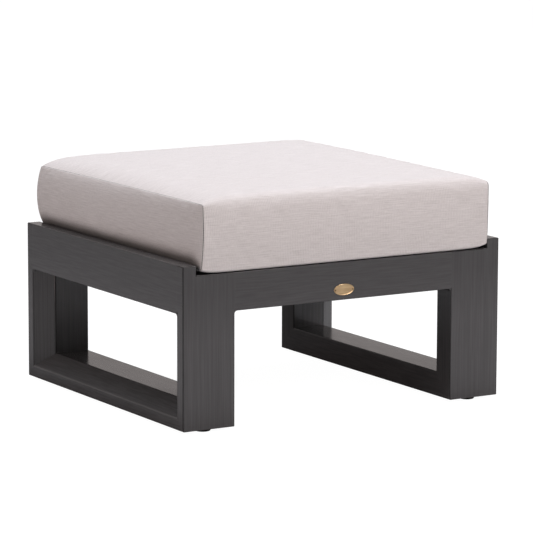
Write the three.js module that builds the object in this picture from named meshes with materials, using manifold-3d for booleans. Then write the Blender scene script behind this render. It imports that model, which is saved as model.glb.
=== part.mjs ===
// Outdoor ottoman footstool: a low welded frame with two loop-shaped sides, and a loose boxed cushion.
// Millimetres. +Z is up, -Y is the front and +X is the right, seen from the front.
// The origin is on the floor, under the middle of the frame.
import * as THREE from 'three';
import { mergeVertices } from 'three/addons/utils/BufferGeometryUtils.js';
import Module from 'manifold-3d';

const wasm = await Module();
wasm.setup();

// Frame as a whole, above its glides
const frameWidth = 720;
const frameDepth = 646;
const frameHeight = 317;
const seatDrop = 19;

// Loop section: the hollow bar that the four legs and the two runners are cut from
const loopWidth = 113;
const loopThickness = 50;
const loopEdgeThickness = 24;
const loopBevelWidth = 38;
const loopWall = 2.5;
const loopEdgeRadius = 2.5;
const weldGap = 0.3;

// Side rails and aprons
const railWidth = 29;
const railDepth = 93.5;
const railWall = 2.5;
const railEdgeRadius = 2;
const apronThickness = 29;
const apronWall = 2.5;
const apronEdgeRadius = 1.5;
const capThickness = 2.5;

// Seat deck
const slatCount = 7;
const slatWidth = 60;
const slatThickness = 12;
const slatWall = 1.5;
const slatEndGap = 1;
const slatLegGap = 2;
const ledgeWidth = 25;
const ledgeDrop = 22;
const ledgeThickness = 3;
const ledgeEndGap = 1;
const stretcherWidth = 30;
const stretcherDepth = 25;
const stretcherWall = 2;

// Screws, pins and their holes
const fitClearance = 0.3;
const slatScrewRadius = 2;
const slatScrewReach = 4.5;
const slatScrewHeadRadius = 4;
const slatScrewHeadHeight = 2.2;
const glideScrewRadius = 2.5;
const glideScrewReach = 8;
const glideScrewHeadRadius = 4.5;
const glideScrewHeadHeight = 2.6;

// Glides
const glideRadius = 16;
const glideHeight = 6.5;
const glideChamfer = 1.5;
const glideRecessDepth = 3.4;

// Name plate, left bare
const plateLength = 45.6;
const plateHeight = 22.5;
const plateThickness = 1.2;
const plateOffset = -3;
const plateRise = 20.4;
const platePinInset = 3.4;
const platePinRadius = 0.8;
const platePinHeadRadius = 1.3;
const platePinHeadHeight = 0.5;
const platePinReach = 1;

// Cushion: the cover from seam to seam, and its room inside the frame
const cushionSideGap = 9;
const cushionEndInset = 11;
const cushionSeamHeight = 135;
const cushionCrown = 26;
const cushionCrownEdgeShare = 0.7;
const cushionSwell = 6;
const cushionSideSwell = 7;
const cushionSideBow = 3;
const cushionCornerPull = 4;
const cushionEdgeRadius = 28;
const cushionSeamRadius = 9;
const cushionLeastRadius = 1.5;
const cushionSeamPower = 8;
const cushionCrownPower = 4;
const cushionCornerPower = 16;
const cushionLift = 0.3;
const coverThickness = 1.4;
const waddingThickness = 8;
const waddingEndInset = 12;
const liningGap = 0.3;

// Zip along the middle of the rear face
const zipEndInset = 67;
const zipSlotHeight = 7;
const zipTapeWidth = 11;
const zipTapeThickness = 0.8;
const zipTeethWidth = 2;
const zipTeethDepth = 2.4;
const zipHalfGap = 0.8;
const sliderLength = 11;
const sliderHeight = 8;
const sliderPlateThickness = 1;
const sliderPostWidth = 1;
const sliderPostLength = 3;
const bailSpan = 7;
const bailRise = 1.9;
const bailThickness = 0.9;
const bailWidth = 1.2;
const pullLength = 26;
const pullWidth = 6;
const pullThickness = 1;
const pullEyeLength = 5.5;
const pullEyeWidth = 2.6;
const pullRim = 1.1;
const zipRunningGap = 0.3;
const zipEndMargin = 8;

// Facets
const roundSteps = 3;
const screwSides = 12;
const glideSides = 24;
const ellipseSteps = 16;
const cushionEdgeSteps = 4;
const cushionSpans = 10;
const cushionWallShares = [-0.5, -0.2, 0.2, 0.5];
const cushionTopShares = [0.8, 0.45, 0, -0.45, -0.8];
const cushionPanelShares = [1 / 3, 2 / 3];
const cutOverrun = 5;

// Sizes that follow from those above
const halfWidth = frameWidth / 2;
const halfDepth = frameDepth / 2;
const bevelSlope = (loopThickness - loopEdgeThickness) / loopBevelWidth;
const mitreShift = weldGap * Math.SQRT2 / 2;
const bevelGap = weldGap * Math.hypot(1, bevelSlope);
const seatHeight = frameHeight - seatDrop;
const railBottom = frameHeight - railDepth;
const plateCentreHeight = railBottom + plateRise;
const apronLength = frameWidth - 2 * loopWidth;
const slatBottom = seatHeight - slatThickness;
const ledgeBottom = slatBottom - ledgeThickness;
const cushionWidth = frameWidth - 2 * (railWidth + cushionSideGap);
const cushionDepth = frameDepth - 2 * cushionEndInset;
const zipLength = cushionWidth - 2 * zipEndInset;

const finishes = {
  coat: { color: 0x4b4a4b, roughness: 0.5, metalness: 0.4 },
  deckCoat: { color: 0x454445, roughness: 0.6, metalness: 0.4 },
  glideNylon: { color: 0x151515, roughness: 0.6, metalness: 0 },
  steel: { color: 0x9a9a98, roughness: 0.35, metalness: 0.9 },
  goldPlate: { color: 0xc9a877, roughness: 0.35, metalness: 0.9 },
  coverCloth: { color: 0xddd6d3, roughness: 0.95, metalness: 0 },
  wadding: { color: 0xf2f1ec, roughness: 1, metalness: 0 },
  foam: { color: 0xe9dfb4, roughness: 1, metalness: 0 },
  zipTape: { color: 0xc9c2bd, roughness: 0.9, metalness: 0 },
  zipMetal: { color: 0x8f8a86, roughness: 0.4, metalness: 0.9 },
};

function part(name, finish, geometry, x = 0, y = 0, z = 0) {
  const material = new THREE.MeshStandardMaterial({ name: finish, ...finishes[finish] });
  const mesh = new THREE.Mesh(geometry, material);
  mesh.name = name;
  mesh.position.set(x, y, z);
  return mesh;
}

// A closed geometry as a solid that can be cut and joined.
function solid(geometry) {
  const bare = geometry.clone();
  bare.deleteAttribute('normal');
  bare.deleteAttribute('uv');
  const merged = mergeVertices(bare);
  const vertProperties = new Float32Array(merged.attributes.position.array);
  const triVerts = new Uint32Array(merged.index.array);
  return new wasm.Manifold(new wasm.Mesh({ numProp: 3, vertProperties, triVerts }));
}

function geometryOf(manifold) {
  const { vertProperties, triVerts } = manifold.getMesh();
  const geometry = new THREE.BufferGeometry();
  geometry.setAttribute('position', new THREE.BufferAttribute(new Float32Array(vertProperties), 3));
  geometry.setIndex(new THREE.BufferAttribute(new Uint32Array(triVerts), 1));
  return flatShaded(geometry);
}

function flatShaded(geometry) {
  const loose = geometry.index ? geometry.toNonIndexed() : geometry;
  loose.computeVertexNormals();
  return loose;
}

// Turns that keep every coordinate exact: a section drawn in X and Z then runs along Y, and one
// drawn in Y and Z then runs along X.
const alongY = new THREE.Matrix4().makeBasis(
  new THREE.Vector3(1, 0, 0), new THREE.Vector3(0, 0, 1), new THREE.Vector3(0, -1, 0));
const alongX = new THREE.Matrix4().makeBasis(
  new THREE.Vector3(0, 1, 0), new THREE.Vector3(0, 0, 1), new THREE.Vector3(1, 0, 0));

// Mirrors a geometry in X and Y, and keeps its faces pointing out.
function reflected(geometry, signX, signY) {
  const copy = flatShaded(geometry.clone().scale(signX, signY, 1));
  if (signX * signY < 0) {
    const places = copy.attributes.position;
    for (let i = 0; i < places.count; i += 3) {
      const kept = new THREE.Vector3().fromBufferAttribute(places, i);
      places.setXYZ(i, places.getX(i + 1), places.getY(i + 1), places.getZ(i + 1));
      places.setXYZ(i + 1, kept.x, kept.y, kept.z);
    }
    copy.computeVertexNormals();
  }
  return copy;
}

// An extrusion of a shape between two end surfaces, each given as a height over the shape.
function prism(shape, startAt, endAt) {
  const geometry = new THREE.ExtrudeGeometry(shape, {
    depth: 1, bevelEnabled: false, curveSegments: ellipseSteps,
  });
  const places = geometry.attributes.position;
  for (let i = 0; i < places.count; i += 1) {
    const end = places.getZ(i) === 0 ? startAt : endAt;
    places.setZ(i, end(places.getX(i), places.getY(i)));
  }
  return flatShaded(geometry);
}

function box(low, high) {
  const size = high.map((value, axis) => value - low[axis]);
  const geometry = new THREE.BoxGeometry(...size);
  return geometry.translate(...low.map((value, axis) => value + size[axis] / 2));
}

function cylinder(radius, low, high, x, y) {
  const geometry = new THREE.CylinderGeometry(radius, radius, high - low, screwSides);
  return geometry.applyMatrix4(alongY).translate(x, y, (low + high) / 2);
}

// A closed outline from [x, y, corner radius] corners, given anticlockwise.
function roundedPoints(corners) {
  const points = [];
  corners.forEach(([x, y, radius], i) => {
    const corner = new THREE.Vector2(x, y);
    if (radius === 0) {
      points.push(corner);
      return;
    }
    const before = corners[(i + corners.length - 1) % corners.length];
    const after = corners[(i + 1) % corners.length];
    const back = new THREE.Vector2(before[0] - x, before[1] - y).normalize();
    const ahead = new THREE.Vector2(after[0] - x, after[1] - y).normalize();
    const half = Math.acos(back.dot(ahead)) / 2;
    const middle = back.clone().add(ahead).normalize();
    const centre = corner.clone().addScaledVector(middle, radius / Math.sin(half));
    const sweep = Math.PI / 2 - half;
    const outward = Math.atan2(-middle.y, -middle.x);
    for (let step = 0; step <= roundSteps; step += 1) {
      const angle = outward + sweep * (2 * step / roundSteps - 1);
      points.push(new THREE.Vector2(
        centre.x + radius * Math.cos(angle), centre.y + radius * Math.sin(angle)));
    }
  });
  return points;
}

function rectangle(x0, y0, x1, y1, radius = 0) {
  return roundedPoints([[x0, y0, radius], [x1, y0, radius], [x1, y1, radius], [x0, y1, radius]]);
}

// A bar of the given outline with its hollows cut through from end to end.
function hollowBar(outline, hollows, startAt, endAt) {
  let bar = solid(prism(new THREE.Shape(outline), startAt, endAt));
  for (const hollow of hollows) {
    bar = bar.subtract(solid(prism(
      new THREE.Shape(hollow),
      (x, y) => startAt(x, y) - cutOverrun,
      (x, y) => endAt(x, y) + cutOverrun)));
  }
  return geometryOf(bar);
}

// The loop section has its outer face at x = 0 and its flat face at y = 0. Its thickness grows
// along the bevel, from the outer face inwards, and two webs part its hollow in three.
function thicknessAt(x) {
  return Math.min(loopThickness, loopEdgeThickness + bevelSlope * x);
}

function loopOutline() {
  return roundedPoints([
    [0, 0, loopEdgeRadius],
    [loopWidth, 0, 0],
    [loopWidth, loopThickness, 0],
    [loopBevelWidth, loopThickness, 0],
    [0, loopEdgeThickness, loopEdgeRadius],
  ]);
}

function loopHollows() {
  const inner = loopThickness - loopWall;
  const outerWebEnd = loopBevelWidth + loopWall / 2;
  const middleWeb = (loopBevelWidth + loopWidth) / 2;
  const underBevel = (x) => thicknessAt(x) - loopWall * Math.hypot(1, bevelSlope);
  const outerChamber = [
    new THREE.Vector2(loopWall, loopWall),
    new THREE.Vector2(loopBevelWidth - loopWall / 2, loopWall),
    new THREE.Vector2(loopBevelWidth - loopWall / 2, underBevel(loopBevelWidth - loopWall / 2)),
    new THREE.Vector2(loopWall, underBevel(loopWall)),
  ];
  return [
    outerChamber,
    rectangle(outerWebEnd, loopWall, middleWeb - loopWall / 2, inner),
    rectangle(middleWeb + loopWall / 2, loopWall, loopWidth - loopWall, inner),
  ];
}

// A leg stands on the mitre at its foot. Its top is notched, so that only the strip in line with
// the side rail rises past the seat.
function legGeometry() {
  const bar = solid(hollowBar(
    loopOutline(), loopHollows(), (x, y) => y + mitreShift, () => frameHeight - capThickness));
  const notch = solid(box(
    [railWidth - capThickness, -cutOverrun, seatHeight - capThickness],
    [loopWidth + cutOverrun, loopThickness + cutOverrun, frameHeight]));
  return geometryOf(bar.subtract(notch));
}

// One stepped plate closes the leg's top, the upright of its notch and the notch's floor.
function legCapGeometry() {
  const block = solid(prism(
    new THREE.Shape(loopOutline()), () => seatHeight - capThickness, () => frameHeight));
  const under = solid(box(
    [-cutOverrun, -cutOverrun, 0],
    [railWidth - capThickness, loopThickness + cutOverrun, frameHeight - capThickness]));
  const over = solid(box(
    [railWidth, -cutOverrun, seatHeight],
    [loopWidth + cutOverrun, loopThickness + cutOverrun, frameHeight + cutOverrun]));
  return geometryOf(block.subtract(under).subtract(over));
}

function glideCentre() {
  return [loopWidth / 2, loopThickness / 2];
}

function runnerGeometry() {
  const bar = hollowBar(
    loopOutline(), loopHollows(), (x, z) => z + mitreShift - frameDepth, (x, z) => -z - mitreShift);
  let runner = solid(bar.applyMatrix4(alongY));
  const [x, y] = glideCentre();
  for (const place of [y, frameDepth - y]) {
    const radius = glideScrewRadius + fitClearance;
    runner = runner.subtract(solid(cylinder(radius, -cutOverrun, loopWall + cutOverrun, x, place)));
  }
  return geometryOf(runner);
}

// A side rail ends on the legs' bevels.
function railGeometry() {
  const bar = hollowBar(
    rectangle(0, railBottom, railWidth, frameHeight, railEdgeRadius),
    [rectangle(railWall, railBottom + railWall, railWidth - railWall, frameHeight - railWall)],
    (x) => thicknessAt(x) + bevelGap - frameDepth,
    (x) => -thicknessAt(x) - bevelGap);
  return bar.applyMatrix4(alongY);
}

function apronGeometry(withPlate) {
  const bar = hollowBar(
    rectangle(0, railBottom, apronThickness, seatHeight, apronEdgeRadius),
    [rectangle(apronWall, railBottom + apronWall, apronThickness - apronWall, seatHeight - apronWall)],
    () => -apronLength / 2, () => apronLength / 2).applyMatrix4(alongX);
  if (!withPlate) {
    return bar;
  }
  let apron = solid(bar);
  for (const side of [-1, 1]) {
    const drill = new THREE.CylinderGeometry(
      platePinRadius + fitClearance / 2, platePinRadius + fitClearance / 2,
      2 * apronWall + cutOverrun, screwSides);
    drill.translate(plateOffset + side * platePinSpan(), 0, plateCentreHeight);
    apron = apron.subtract(solid(drill));
  }
  return geometryOf(apron);
}

function platePinSpan() {
  return plateLength / 2 - platePinInset;
}

function plateGeometry() {
  const shape = new THREE.Shape();
  shape.absellipse(0, 0, plateLength / 2, plateHeight / 2, 0, 2 * Math.PI, false, 0);
  for (const side of [-1, 1]) {
    const hole = new THREE.Path();
    hole.absarc(side * platePinSpan(), 0, platePinRadius + fitClearance / 2, 0, 2 * Math.PI, true);
    shape.holes.push(hole);
  }
  return flatShaded(prism(shape, () => 0, () => plateThickness).applyMatrix4(alongY));
}

// A headed pin along +Z from its head's underside, made as a profile turned about its axis.
function headedPin(headRadius, headHeight, radius, reach, dome) {
  const profile = [
    new THREE.Vector2(0, -headHeight),
    new THREE.Vector2(headRadius - dome, -headHeight),
    new THREE.Vector2(headRadius, dome - headHeight),
    new THREE.Vector2(headRadius, 0),
    new THREE.Vector2(radius, 0),
    new THREE.Vector2(radius, reach),
    new THREE.Vector2(0, reach),
  ];
  return new THREE.LatheGeometry(profile, screwSides);
}

function glideGeometry() {
  const hole = glideScrewRadius + fitClearance;
  const recess = glideScrewHeadRadius + fitClearance;
  const profile = [
    new THREE.Vector2(hole, 0),
    new THREE.Vector2(hole, glideRecessDepth - glideHeight),
    new THREE.Vector2(recess, glideRecessDepth - glideHeight),
    new THREE.Vector2(recess, -glideHeight),
    new THREE.Vector2(glideRadius - glideChamfer, -glideHeight),
    new THREE.Vector2(glideRadius, glideChamfer - glideHeight),
    new THREE.Vector2(glideRadius, 0),
    new THREE.Vector2(hole, 0),
  ];
  return new THREE.LatheGeometry(profile, glideSides).applyMatrix4(alongY);
}

function ledgeScrewX() {
  return ledgeThickness + (ledgeWidth - ledgeThickness) / 2;
}

function slatRange() {
  return frameDepth - 2 * (loopThickness + slatLegGap) - slatWidth;
}

function slatCentre(i) {
  return slatRange() * (i / (slatCount - 1) - 1 / 2);
}

// A ledge is an angle: one flange lies against the side rail, the other carries the slat ends.
function ledgeGeometry() {
  const angle = new THREE.Shape([
    new THREE.Vector2(0, -ledgeDrop),
    new THREE.Vector2(ledgeThickness, -ledgeDrop),
    new THREE.Vector2(ledgeThickness, 0),
    new THREE.Vector2(ledgeWidth, 0),
    new THREE.Vector2(ledgeWidth, ledgeThickness),
    new THREE.Vector2(0, ledgeThickness),
  ]);
  const half = frameDepth / 2 - loopThickness - ledgeEndGap;
  let ledge = solid(prism(angle, () => -half, () => half).applyMatrix4(alongY));
  for (let i = 0; i < slatCount; i += 1) {
    ledge = ledge.subtract(solid(cylinder(
      slatScrewRadius + fitClearance, -cutOverrun, ledgeThickness + cutOverrun,
      ledgeScrewX(), slatCentre(i))));
  }
  return geometryOf(ledge);
}

function slatGeometry() {
  const half = halfWidth - railWidth - slatEndGap;
  const inner = slatWidth / 2 - slatWall;
  let slat = solid(hollowBar(
    rectangle(-slatWidth / 2, 0, slatWidth / 2, slatThickness),
    [rectangle(-inner, slatWall, inner, slatThickness - slatWall)],
    () => -half, () => half).applyMatrix4(alongX));
  const fromMiddle = halfWidth - railWidth - ledgeScrewX();
  for (const side of [-1, 1]) {
    slat = slat.subtract(solid(cylinder(
      slatScrewRadius + fitClearance, -cutOverrun, slatWall + fitClearance, side * fromMiddle, 0)));
  }
  return geometryOf(slat);
}

function stretcherGeometry() {
  const half = halfDepth - apronThickness;
  const inner = stretcherWidth / 2 - stretcherWall;
  return hollowBar(
    rectangle(-stretcherWidth / 2, -stretcherDepth, stretcherWidth / 2, 0),
    [rectangle(-inner, -stretcherDepth + stretcherWall, inner, -stretcherWall)],
    () => -half, () => half).applyMatrix4(alongY);
}

// Cushion. A share t runs from one side seam to the other, -1 to 1. Its section there is a rounded
// rectangle in Y and Z, whose edges are soft between the seams and tight at them. The top is
// crowned, the walls swell at half height, and the corners are drawn in.
function cushionSection(t, inset) {
  const seamShare = Math.abs(t) ** cushionSeamPower;
  const deep = cushionDepth / 2 - inset;
  const tall = cushionSeamHeight / 2 - inset;
  const wanted = cushionEdgeRadius + (cushionSeamRadius - cushionEdgeRadius) * seamShare;
  const radius = Math.max(cushionLeastRadius, wanted - inset);
  const flat = [];
  const addArc = (signY, signZ, startTurn) => {
    for (let step = 0; step <= cushionEdgeSteps; step += 1) {
      const angle = (startTurn + step / cushionEdgeSteps) * Math.PI / 2;
      flat.push([
        signY * (deep - radius) + radius * Math.cos(angle),
        signZ * (tall - radius) + radius * Math.sin(angle)]);
    }
  };
  flat.push([0, -tall]);
  addArc(1, -1, -1);
  cushionWallShares.forEach((share) => flat.push([deep, share * tall]));
  addArc(1, 1, 0);
  cushionTopShares.forEach((share) => flat.push([share * deep, tall]));
  addArc(-1, 1, 1);
  cushionWallShares.forEach((share) => flat.push([-deep, -share * tall]));
  addArc(-1, -1, 2);
  return flat.map(([y, z]) => cushionPoint(t, y, z, deep, tall, inset));
}

function cushionPoint(t, y, z, deep, tall, inset) {
  const across = y / deep;
  const up = z / tall;
  const swell = cushionSwell * (1 - up ** 2);
  const bow = cushionSideBow * (1 - across ** 2) * (1 + up) / 2;
  const crown = cushionCrown * (1 - Math.abs(t) ** cushionCrownPower)
    * (cushionCrownEdgeShare + (1 - cushionCrownEdgeShare) * (1 - across ** 2));
  return new THREE.Vector3(
    t * (cushionWidth / 2 - inset + swell + bow),
    y + across * (swell - cushionCornerPull * Math.abs(t) ** cushionCornerPower),
    cushionSeamHeight / 2 + z + crown * Math.max(0, up) ** 2);
}

// The side panels close the ends and swell outwards from their seams.
function cushionRings(inset) {
  const rings = [];
  const panelRing = (section, share, sign) => {
    const middle = new THREE.Vector3(section[0].x, 0, cushionSeamHeight / 2);
    return section.map((point) => {
      const place = middle.clone().lerp(point, share);
      place.x += sign * cushionSideSwell * (1 - share ** 2);
      return place;
    });
  };
  const first = cushionSection(-1, inset);
  const last = cushionSection(1, inset);
  cushionPanelShares.forEach((share) => rings.push(panelRing(first, share, -1)));
  for (let span = 0; span <= cushionSpans; span += 1) {
    rings.push(cushionSection(Math.sin(Math.PI / 2 * (2 * span / cushionSpans - 1)), inset));
  }
  cushionPanelShares.toReversed().forEach((share) => rings.push(panelRing(last, share, 1)));
  return rings;
}

// A closed skin through rings that follow each other along X, with a pole at both ends.
function skinOf(rings) {
  const count = rings[0].length;
  const pole = (ring) => ring.reduce(
    (sum, point) => sum.addScaledVector(point, 1 / count), new THREE.Vector3());
  const points = [...rings.flat(), pole(rings[0]), pole(rings[rings.length - 1])];
  const index = [];
  const startPole = points.length - 2;
  const endPole = points.length - 1;
  const lastRing = (rings.length - 1) * count;
  for (let j = 0; j < count; j += 1) {
    const next = (j + 1) % count;
    index.push(startPole, next, j, endPole, lastRing + j, lastRing + next);
    for (let ring = 0; ring < lastRing; ring += count) {
      index.push(ring + j, ring + next, ring + count + j);
      index.push(ring + next, ring + count + next, ring + count + j);
    }
  }
  const geometry = new THREE.BufferGeometry().setFromPoints(points);
  geometry.setIndex(index);
  return geometry;
}

function cushionSkin(inset) {
  return skinOf(cushionRings(inset));
}

// The zip lies in the flat middle of the rear wall. Its places in Y follow from the cover's faces.
const zipMiddle = cushionSeamHeight / 2;
const zipFace = cushionDepth / 2 + cushionSwell * (1 - cushionWallShares[2] ** 2);
const zipInside = zipFace - coverThickness;
const tapeBack = zipInside - liningGap - zipTapeThickness;
const sliderBack = tapeBack - zipRunningGap - sliderPlateThickness;
const sliderFront = zipFace + zipRunningGap + sliderPlateThickness;
const sliderRest = -(zipLength / 2 - zipEndMargin);
const pullAxis = sliderFront + bailRise / 2;

function coverGeometry() {
  const slot = box(
    [-zipLength / 2, zipFace - coverThickness - cutOverrun, zipMiddle - zipSlotHeight / 2],
    [zipLength / 2, zipFace + cutOverrun, zipMiddle + zipSlotHeight / 2]);
  return geometryOf(
    solid(cushionSkin(0)).subtract(solid(cushionSkin(coverThickness))).subtract(solid(slot)));
}

// The wadding wraps the core from the front over the top to the back, and is open at both ends.
function waddingGeometry() {
  const outer = coverThickness + liningGap;
  const end = cushionWidth / 2 - waddingEndInset;
  const span = solid(box(
    [-end, -cushionDepth, -cutOverrun], [end, cushionDepth, 2 * cushionSeamHeight]));
  const zipReach = zipLength / 2 + zipEndMargin + zipRunningGap;
  const zipHalfHeight = zipHalfGap + zipTapeWidth + zipRunningGap;
  const pocket = solid(box(
    [-zipReach, sliderBack - zipRunningGap, zipMiddle - zipHalfHeight],
    [zipReach, zipFace + cutOverrun, zipMiddle + zipHalfHeight]));
  return geometryOf(solid(cushionSkin(outer))
    .subtract(solid(cushionSkin(outer + waddingThickness)))
    .intersect(span)
    .subtract(pocket));
}

function coreGeometry() {
  return flatShaded(cushionSkin(coverThickness + waddingThickness + 2 * liningGap));
}

// One half of the zip: a tape inside the cover with its row of teeth standing in the slot.
function tapeGeometry() {
  const tapeHalf = zipLength / 2 + zipEndMargin;
  const teethHalf = zipLength / 2 - zipRunningGap;
  const tape = solid(box(
    [-tapeHalf, tapeBack, zipHalfGap],
    [tapeHalf, tapeBack + zipTapeThickness, zipHalfGap + zipTapeWidth]));
  const teeth = solid(box(
    [-teethHalf, tapeBack, zipHalfGap],
    [teethHalf, tapeBack + zipTeethDepth, zipHalfGap + zipTeethWidth]));
  return geometryOf(tape.add(teeth));
}

// The lower tape is the upper one turned over, which keeps its teeth towards the rear.
function turnedOver(geometry) {
  const copy = geometry.clone();
  const places = copy.attributes.position;
  for (let i = 0; i < places.count; i += 1) {
    places.setXYZ(i, -places.getX(i), places.getY(i), -places.getZ(i));
  }
  return flatShaded(copy);
}

// The slider's two plates hold both rows of teeth between them, and its post runs in their gap.
// A bail on the rear plate keeps the pull's rim.
function sliderGeometry() {
  const plate = (back, front) => solid(box(
    [-sliderLength / 2, back, -sliderHeight / 2], [sliderLength / 2, front, sliderHeight / 2]));
  const post = solid(box(
    [-sliderPostLength / 2, sliderBack, -sliderPostWidth / 2],
    [sliderPostLength / 2, sliderFront, sliderPostWidth / 2]));
  const bailTop = sliderFront + bailRise + bailThickness;
  const bail = solid(box(
    [-bailSpan / 2, sliderFront - sliderPlateThickness, -bailWidth / 2],
    [bailSpan / 2, bailTop, bailWidth / 2]));
  const window = solid(box(
    [bailThickness - bailSpan / 2, sliderFront, -bailWidth],
    [bailSpan / 2 - bailThickness, sliderFront + bailRise, bailWidth]));
  return geometryOf(plate(sliderBack, sliderBack + sliderPlateThickness)
    .add(post)
    .add(plate(sliderFront - sliderPlateThickness, sliderFront))
    .add(bail.subtract(window)));
}

// The pull hangs by its rim, a short bar under the bail, and lies along the zip at rest.
function pullGeometry() {
  const near = pullRim / 2;
  const shape = new THREE.Shape(rectangle(near - pullLength, -pullWidth / 2, near, pullWidth / 2, pullRim));
  shape.holes.push(new THREE.Path(rectangle(
    -near - pullEyeLength, -pullEyeWidth / 2, -near, pullEyeWidth / 2)));
  const plate = prism(shape, () => -pullThickness / 2, () => pullThickness / 2);
  return flatShaded(plate.applyMatrix4(alongY));
}

// Assembly
const sides = [['left', -1], ['right', 1]];
const ends = [['front', -1], ['rear', 1]];

function frameGroup() {
  const frame = new THREE.Group();
  frame.position.z = glideHeight;
  const leg = legGeometry();
  const cap = legCapGeometry();
  const runner = runnerGeometry();
  const rail = railGeometry();
  const ledge = ledgeGeometry();
  const glide = glideGeometry();
  const glideScrew = headedPin(
    glideScrewHeadRadius, glideScrewHeadHeight, glideScrewRadius,
    glideHeight - glideRecessDepth + glideScrewReach, 0).applyMatrix4(alongY);
  const [glideX, glideY] = glideCentre();
  for (const [side, signX] of sides) {
    const x = signX * halfWidth;
    for (const [end, signY] of ends) {
      const y = signY * halfDepth;
      const corner = (geometry) => reflected(geometry, -signX, -signY);
      frame.add(
        part(`${end}_${side}_leg`, 'coat', corner(leg), x, y),
        part(`${end}_${side}_leg_cap`, 'coat', corner(cap), x, y),
        part(`${end}_${side}_glide`, 'glideNylon', glide, x - signX * glideX, y - signY * glideY),
        part(
          `${end}_${side}_glide_screw`, 'steel', glideScrew,
          x - signX * glideX, y - signY * glideY, glideRecessDepth - glideHeight));
    }
    frame.add(
      part(`${side}_runner`, 'coat', reflected(runner, -signX, 1), x, -halfDepth),
      part(`${side}_side_rail`, 'coat', reflected(rail, -signX, 1), x, -halfDepth),
      part(
        `${side}_ledge`, 'deckCoat', reflected(ledge, -signX, 1),
        x - signX * railWidth, 0, ledgeBottom));
  }
  frame.add(
    part('front_apron', 'coat', apronGeometry(true), 0, -halfDepth),
    part('rear_apron', 'coat', reflected(apronGeometry(false), 1, -1), 0, halfDepth),
    part('stretcher', 'deckCoat', stretcherGeometry(), 0, 0, slatBottom),
    part('name_plate', 'goldPlate', plateGeometry(), plateOffset, -halfDepth, plateCentreHeight));
  const platePin = headedPin(
    platePinHeadRadius, platePinHeadHeight, platePinRadius,
    plateThickness + apronWall + platePinReach, platePinHeadHeight / 2);
  for (const [side, signX] of sides) {
    frame.add(part(
      `${side}_plate_pin`, 'goldPlate', platePin,
      plateOffset + signX * platePinSpan(), -halfDepth - plateThickness, plateCentreHeight));
  }
  frame.add(...slatParts());
  return frame;
}

function slatParts() {
  const slat = slatGeometry();
  const screw = headedPin(
    slatScrewHeadRadius, slatScrewHeadHeight, slatScrewRadius,
    ledgeThickness + slatWall + slatScrewReach, slatScrewHeadHeight / 2).applyMatrix4(alongY);
  const parts = [];
  for (let i = 0; i < slatCount; i += 1) {
    const y = slatCentre(i);
    parts.push(part(`slat_${i + 1}`, 'deckCoat', slat, 0, y, slatBottom));
    for (const [side, signX] of sides) {
      const x = signX * (halfWidth - railWidth - ledgeScrewX());
      parts.push(part(`slat_${i + 1}_${side}_screw`, 'steel', screw, x, y, ledgeBottom));
    }
  }
  return parts;
}

function cushionGroup() {
  const cushion = new THREE.Group();
  cushion.position.z = glideHeight + seatHeight + cushionLift;
  const tape = tapeGeometry();
  cushion.add(
    part('cushion_cover', 'coverCloth', coverGeometry()),
    part('cushion_wadding', 'wadding', waddingGeometry()),
    part('cushion_core', 'foam', coreGeometry()),
    part('zip_upper_tape', 'zipTape', tape, 0, 0, zipMiddle),
    part('zip_lower_tape', 'zipTape', turnedOver(tape), 0, 0, zipMiddle),
    part('zip_slider', 'zipMetal', sliderGeometry(), sliderRest, 0, zipMiddle),
    part('zip_pull', 'zipMetal', pullGeometry(), sliderRest, pullAxis, zipMiddle));
  return cushion;
}

const footstool = new THREE.Group();
footstool.add(frameGroup(), cushionGroup());

export default footstool;
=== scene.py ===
# Outdoor ottoman footstool: finishes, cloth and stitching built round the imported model.
# Settings are in millimetres and the scene is in metres. +X is the right, +Y the rear, +Z up.
import math
import bpy
import numpy as np
from mathutils import Matrix, Vector


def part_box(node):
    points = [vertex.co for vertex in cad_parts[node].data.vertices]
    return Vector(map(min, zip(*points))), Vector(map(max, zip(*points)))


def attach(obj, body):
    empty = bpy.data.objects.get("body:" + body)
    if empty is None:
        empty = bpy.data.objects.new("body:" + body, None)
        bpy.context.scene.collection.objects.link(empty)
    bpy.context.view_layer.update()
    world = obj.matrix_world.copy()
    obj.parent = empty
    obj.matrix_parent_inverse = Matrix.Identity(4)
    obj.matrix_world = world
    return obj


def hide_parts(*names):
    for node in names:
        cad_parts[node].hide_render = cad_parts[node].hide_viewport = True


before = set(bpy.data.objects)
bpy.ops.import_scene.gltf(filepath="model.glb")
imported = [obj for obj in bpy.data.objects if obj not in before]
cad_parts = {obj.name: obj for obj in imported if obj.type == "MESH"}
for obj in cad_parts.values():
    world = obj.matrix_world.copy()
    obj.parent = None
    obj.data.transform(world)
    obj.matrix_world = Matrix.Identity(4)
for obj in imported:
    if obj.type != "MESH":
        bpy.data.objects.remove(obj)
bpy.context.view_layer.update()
mm = 0.001


# Node helpers.
# Gives a socket a value, or links another socket to it.
def feed(tree, entry, value):
    if isinstance(value, bpy.types.NodeSocket):
        tree.links.new(value, entry)
    else:
        entry.default_value = value


def feedAll(tree, node, inputs):
    for key, value in inputs.items():
        feed(tree, node.inputs[key], value)


# Adds a node, whose inputs go by name or number, and gives it or one of its outputs.
def put(tree, kind, inputs, output=None, **settings):
    node = tree.nodes.new("ShaderNode" + kind)
    for name, value in settings.items():
        setattr(node, name, value)
    feedAll(tree, node, inputs)
    return node if output is None else node.outputs[output]


def maths(tree, operation, *values):
    return put(tree, "Math", dict(enumerate(values)), 0, operation=operation)


def vectors(tree, operation, first, second=None):
    inputs = {0: first}
    if second is not None:
        inputs["Scale" if operation == "SCALE" else 1] = second
    output = "Value" if operation == "DOT_PRODUCT" else 0
    return put(tree, "VectorMath", inputs, output, operation=operation)


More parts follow.
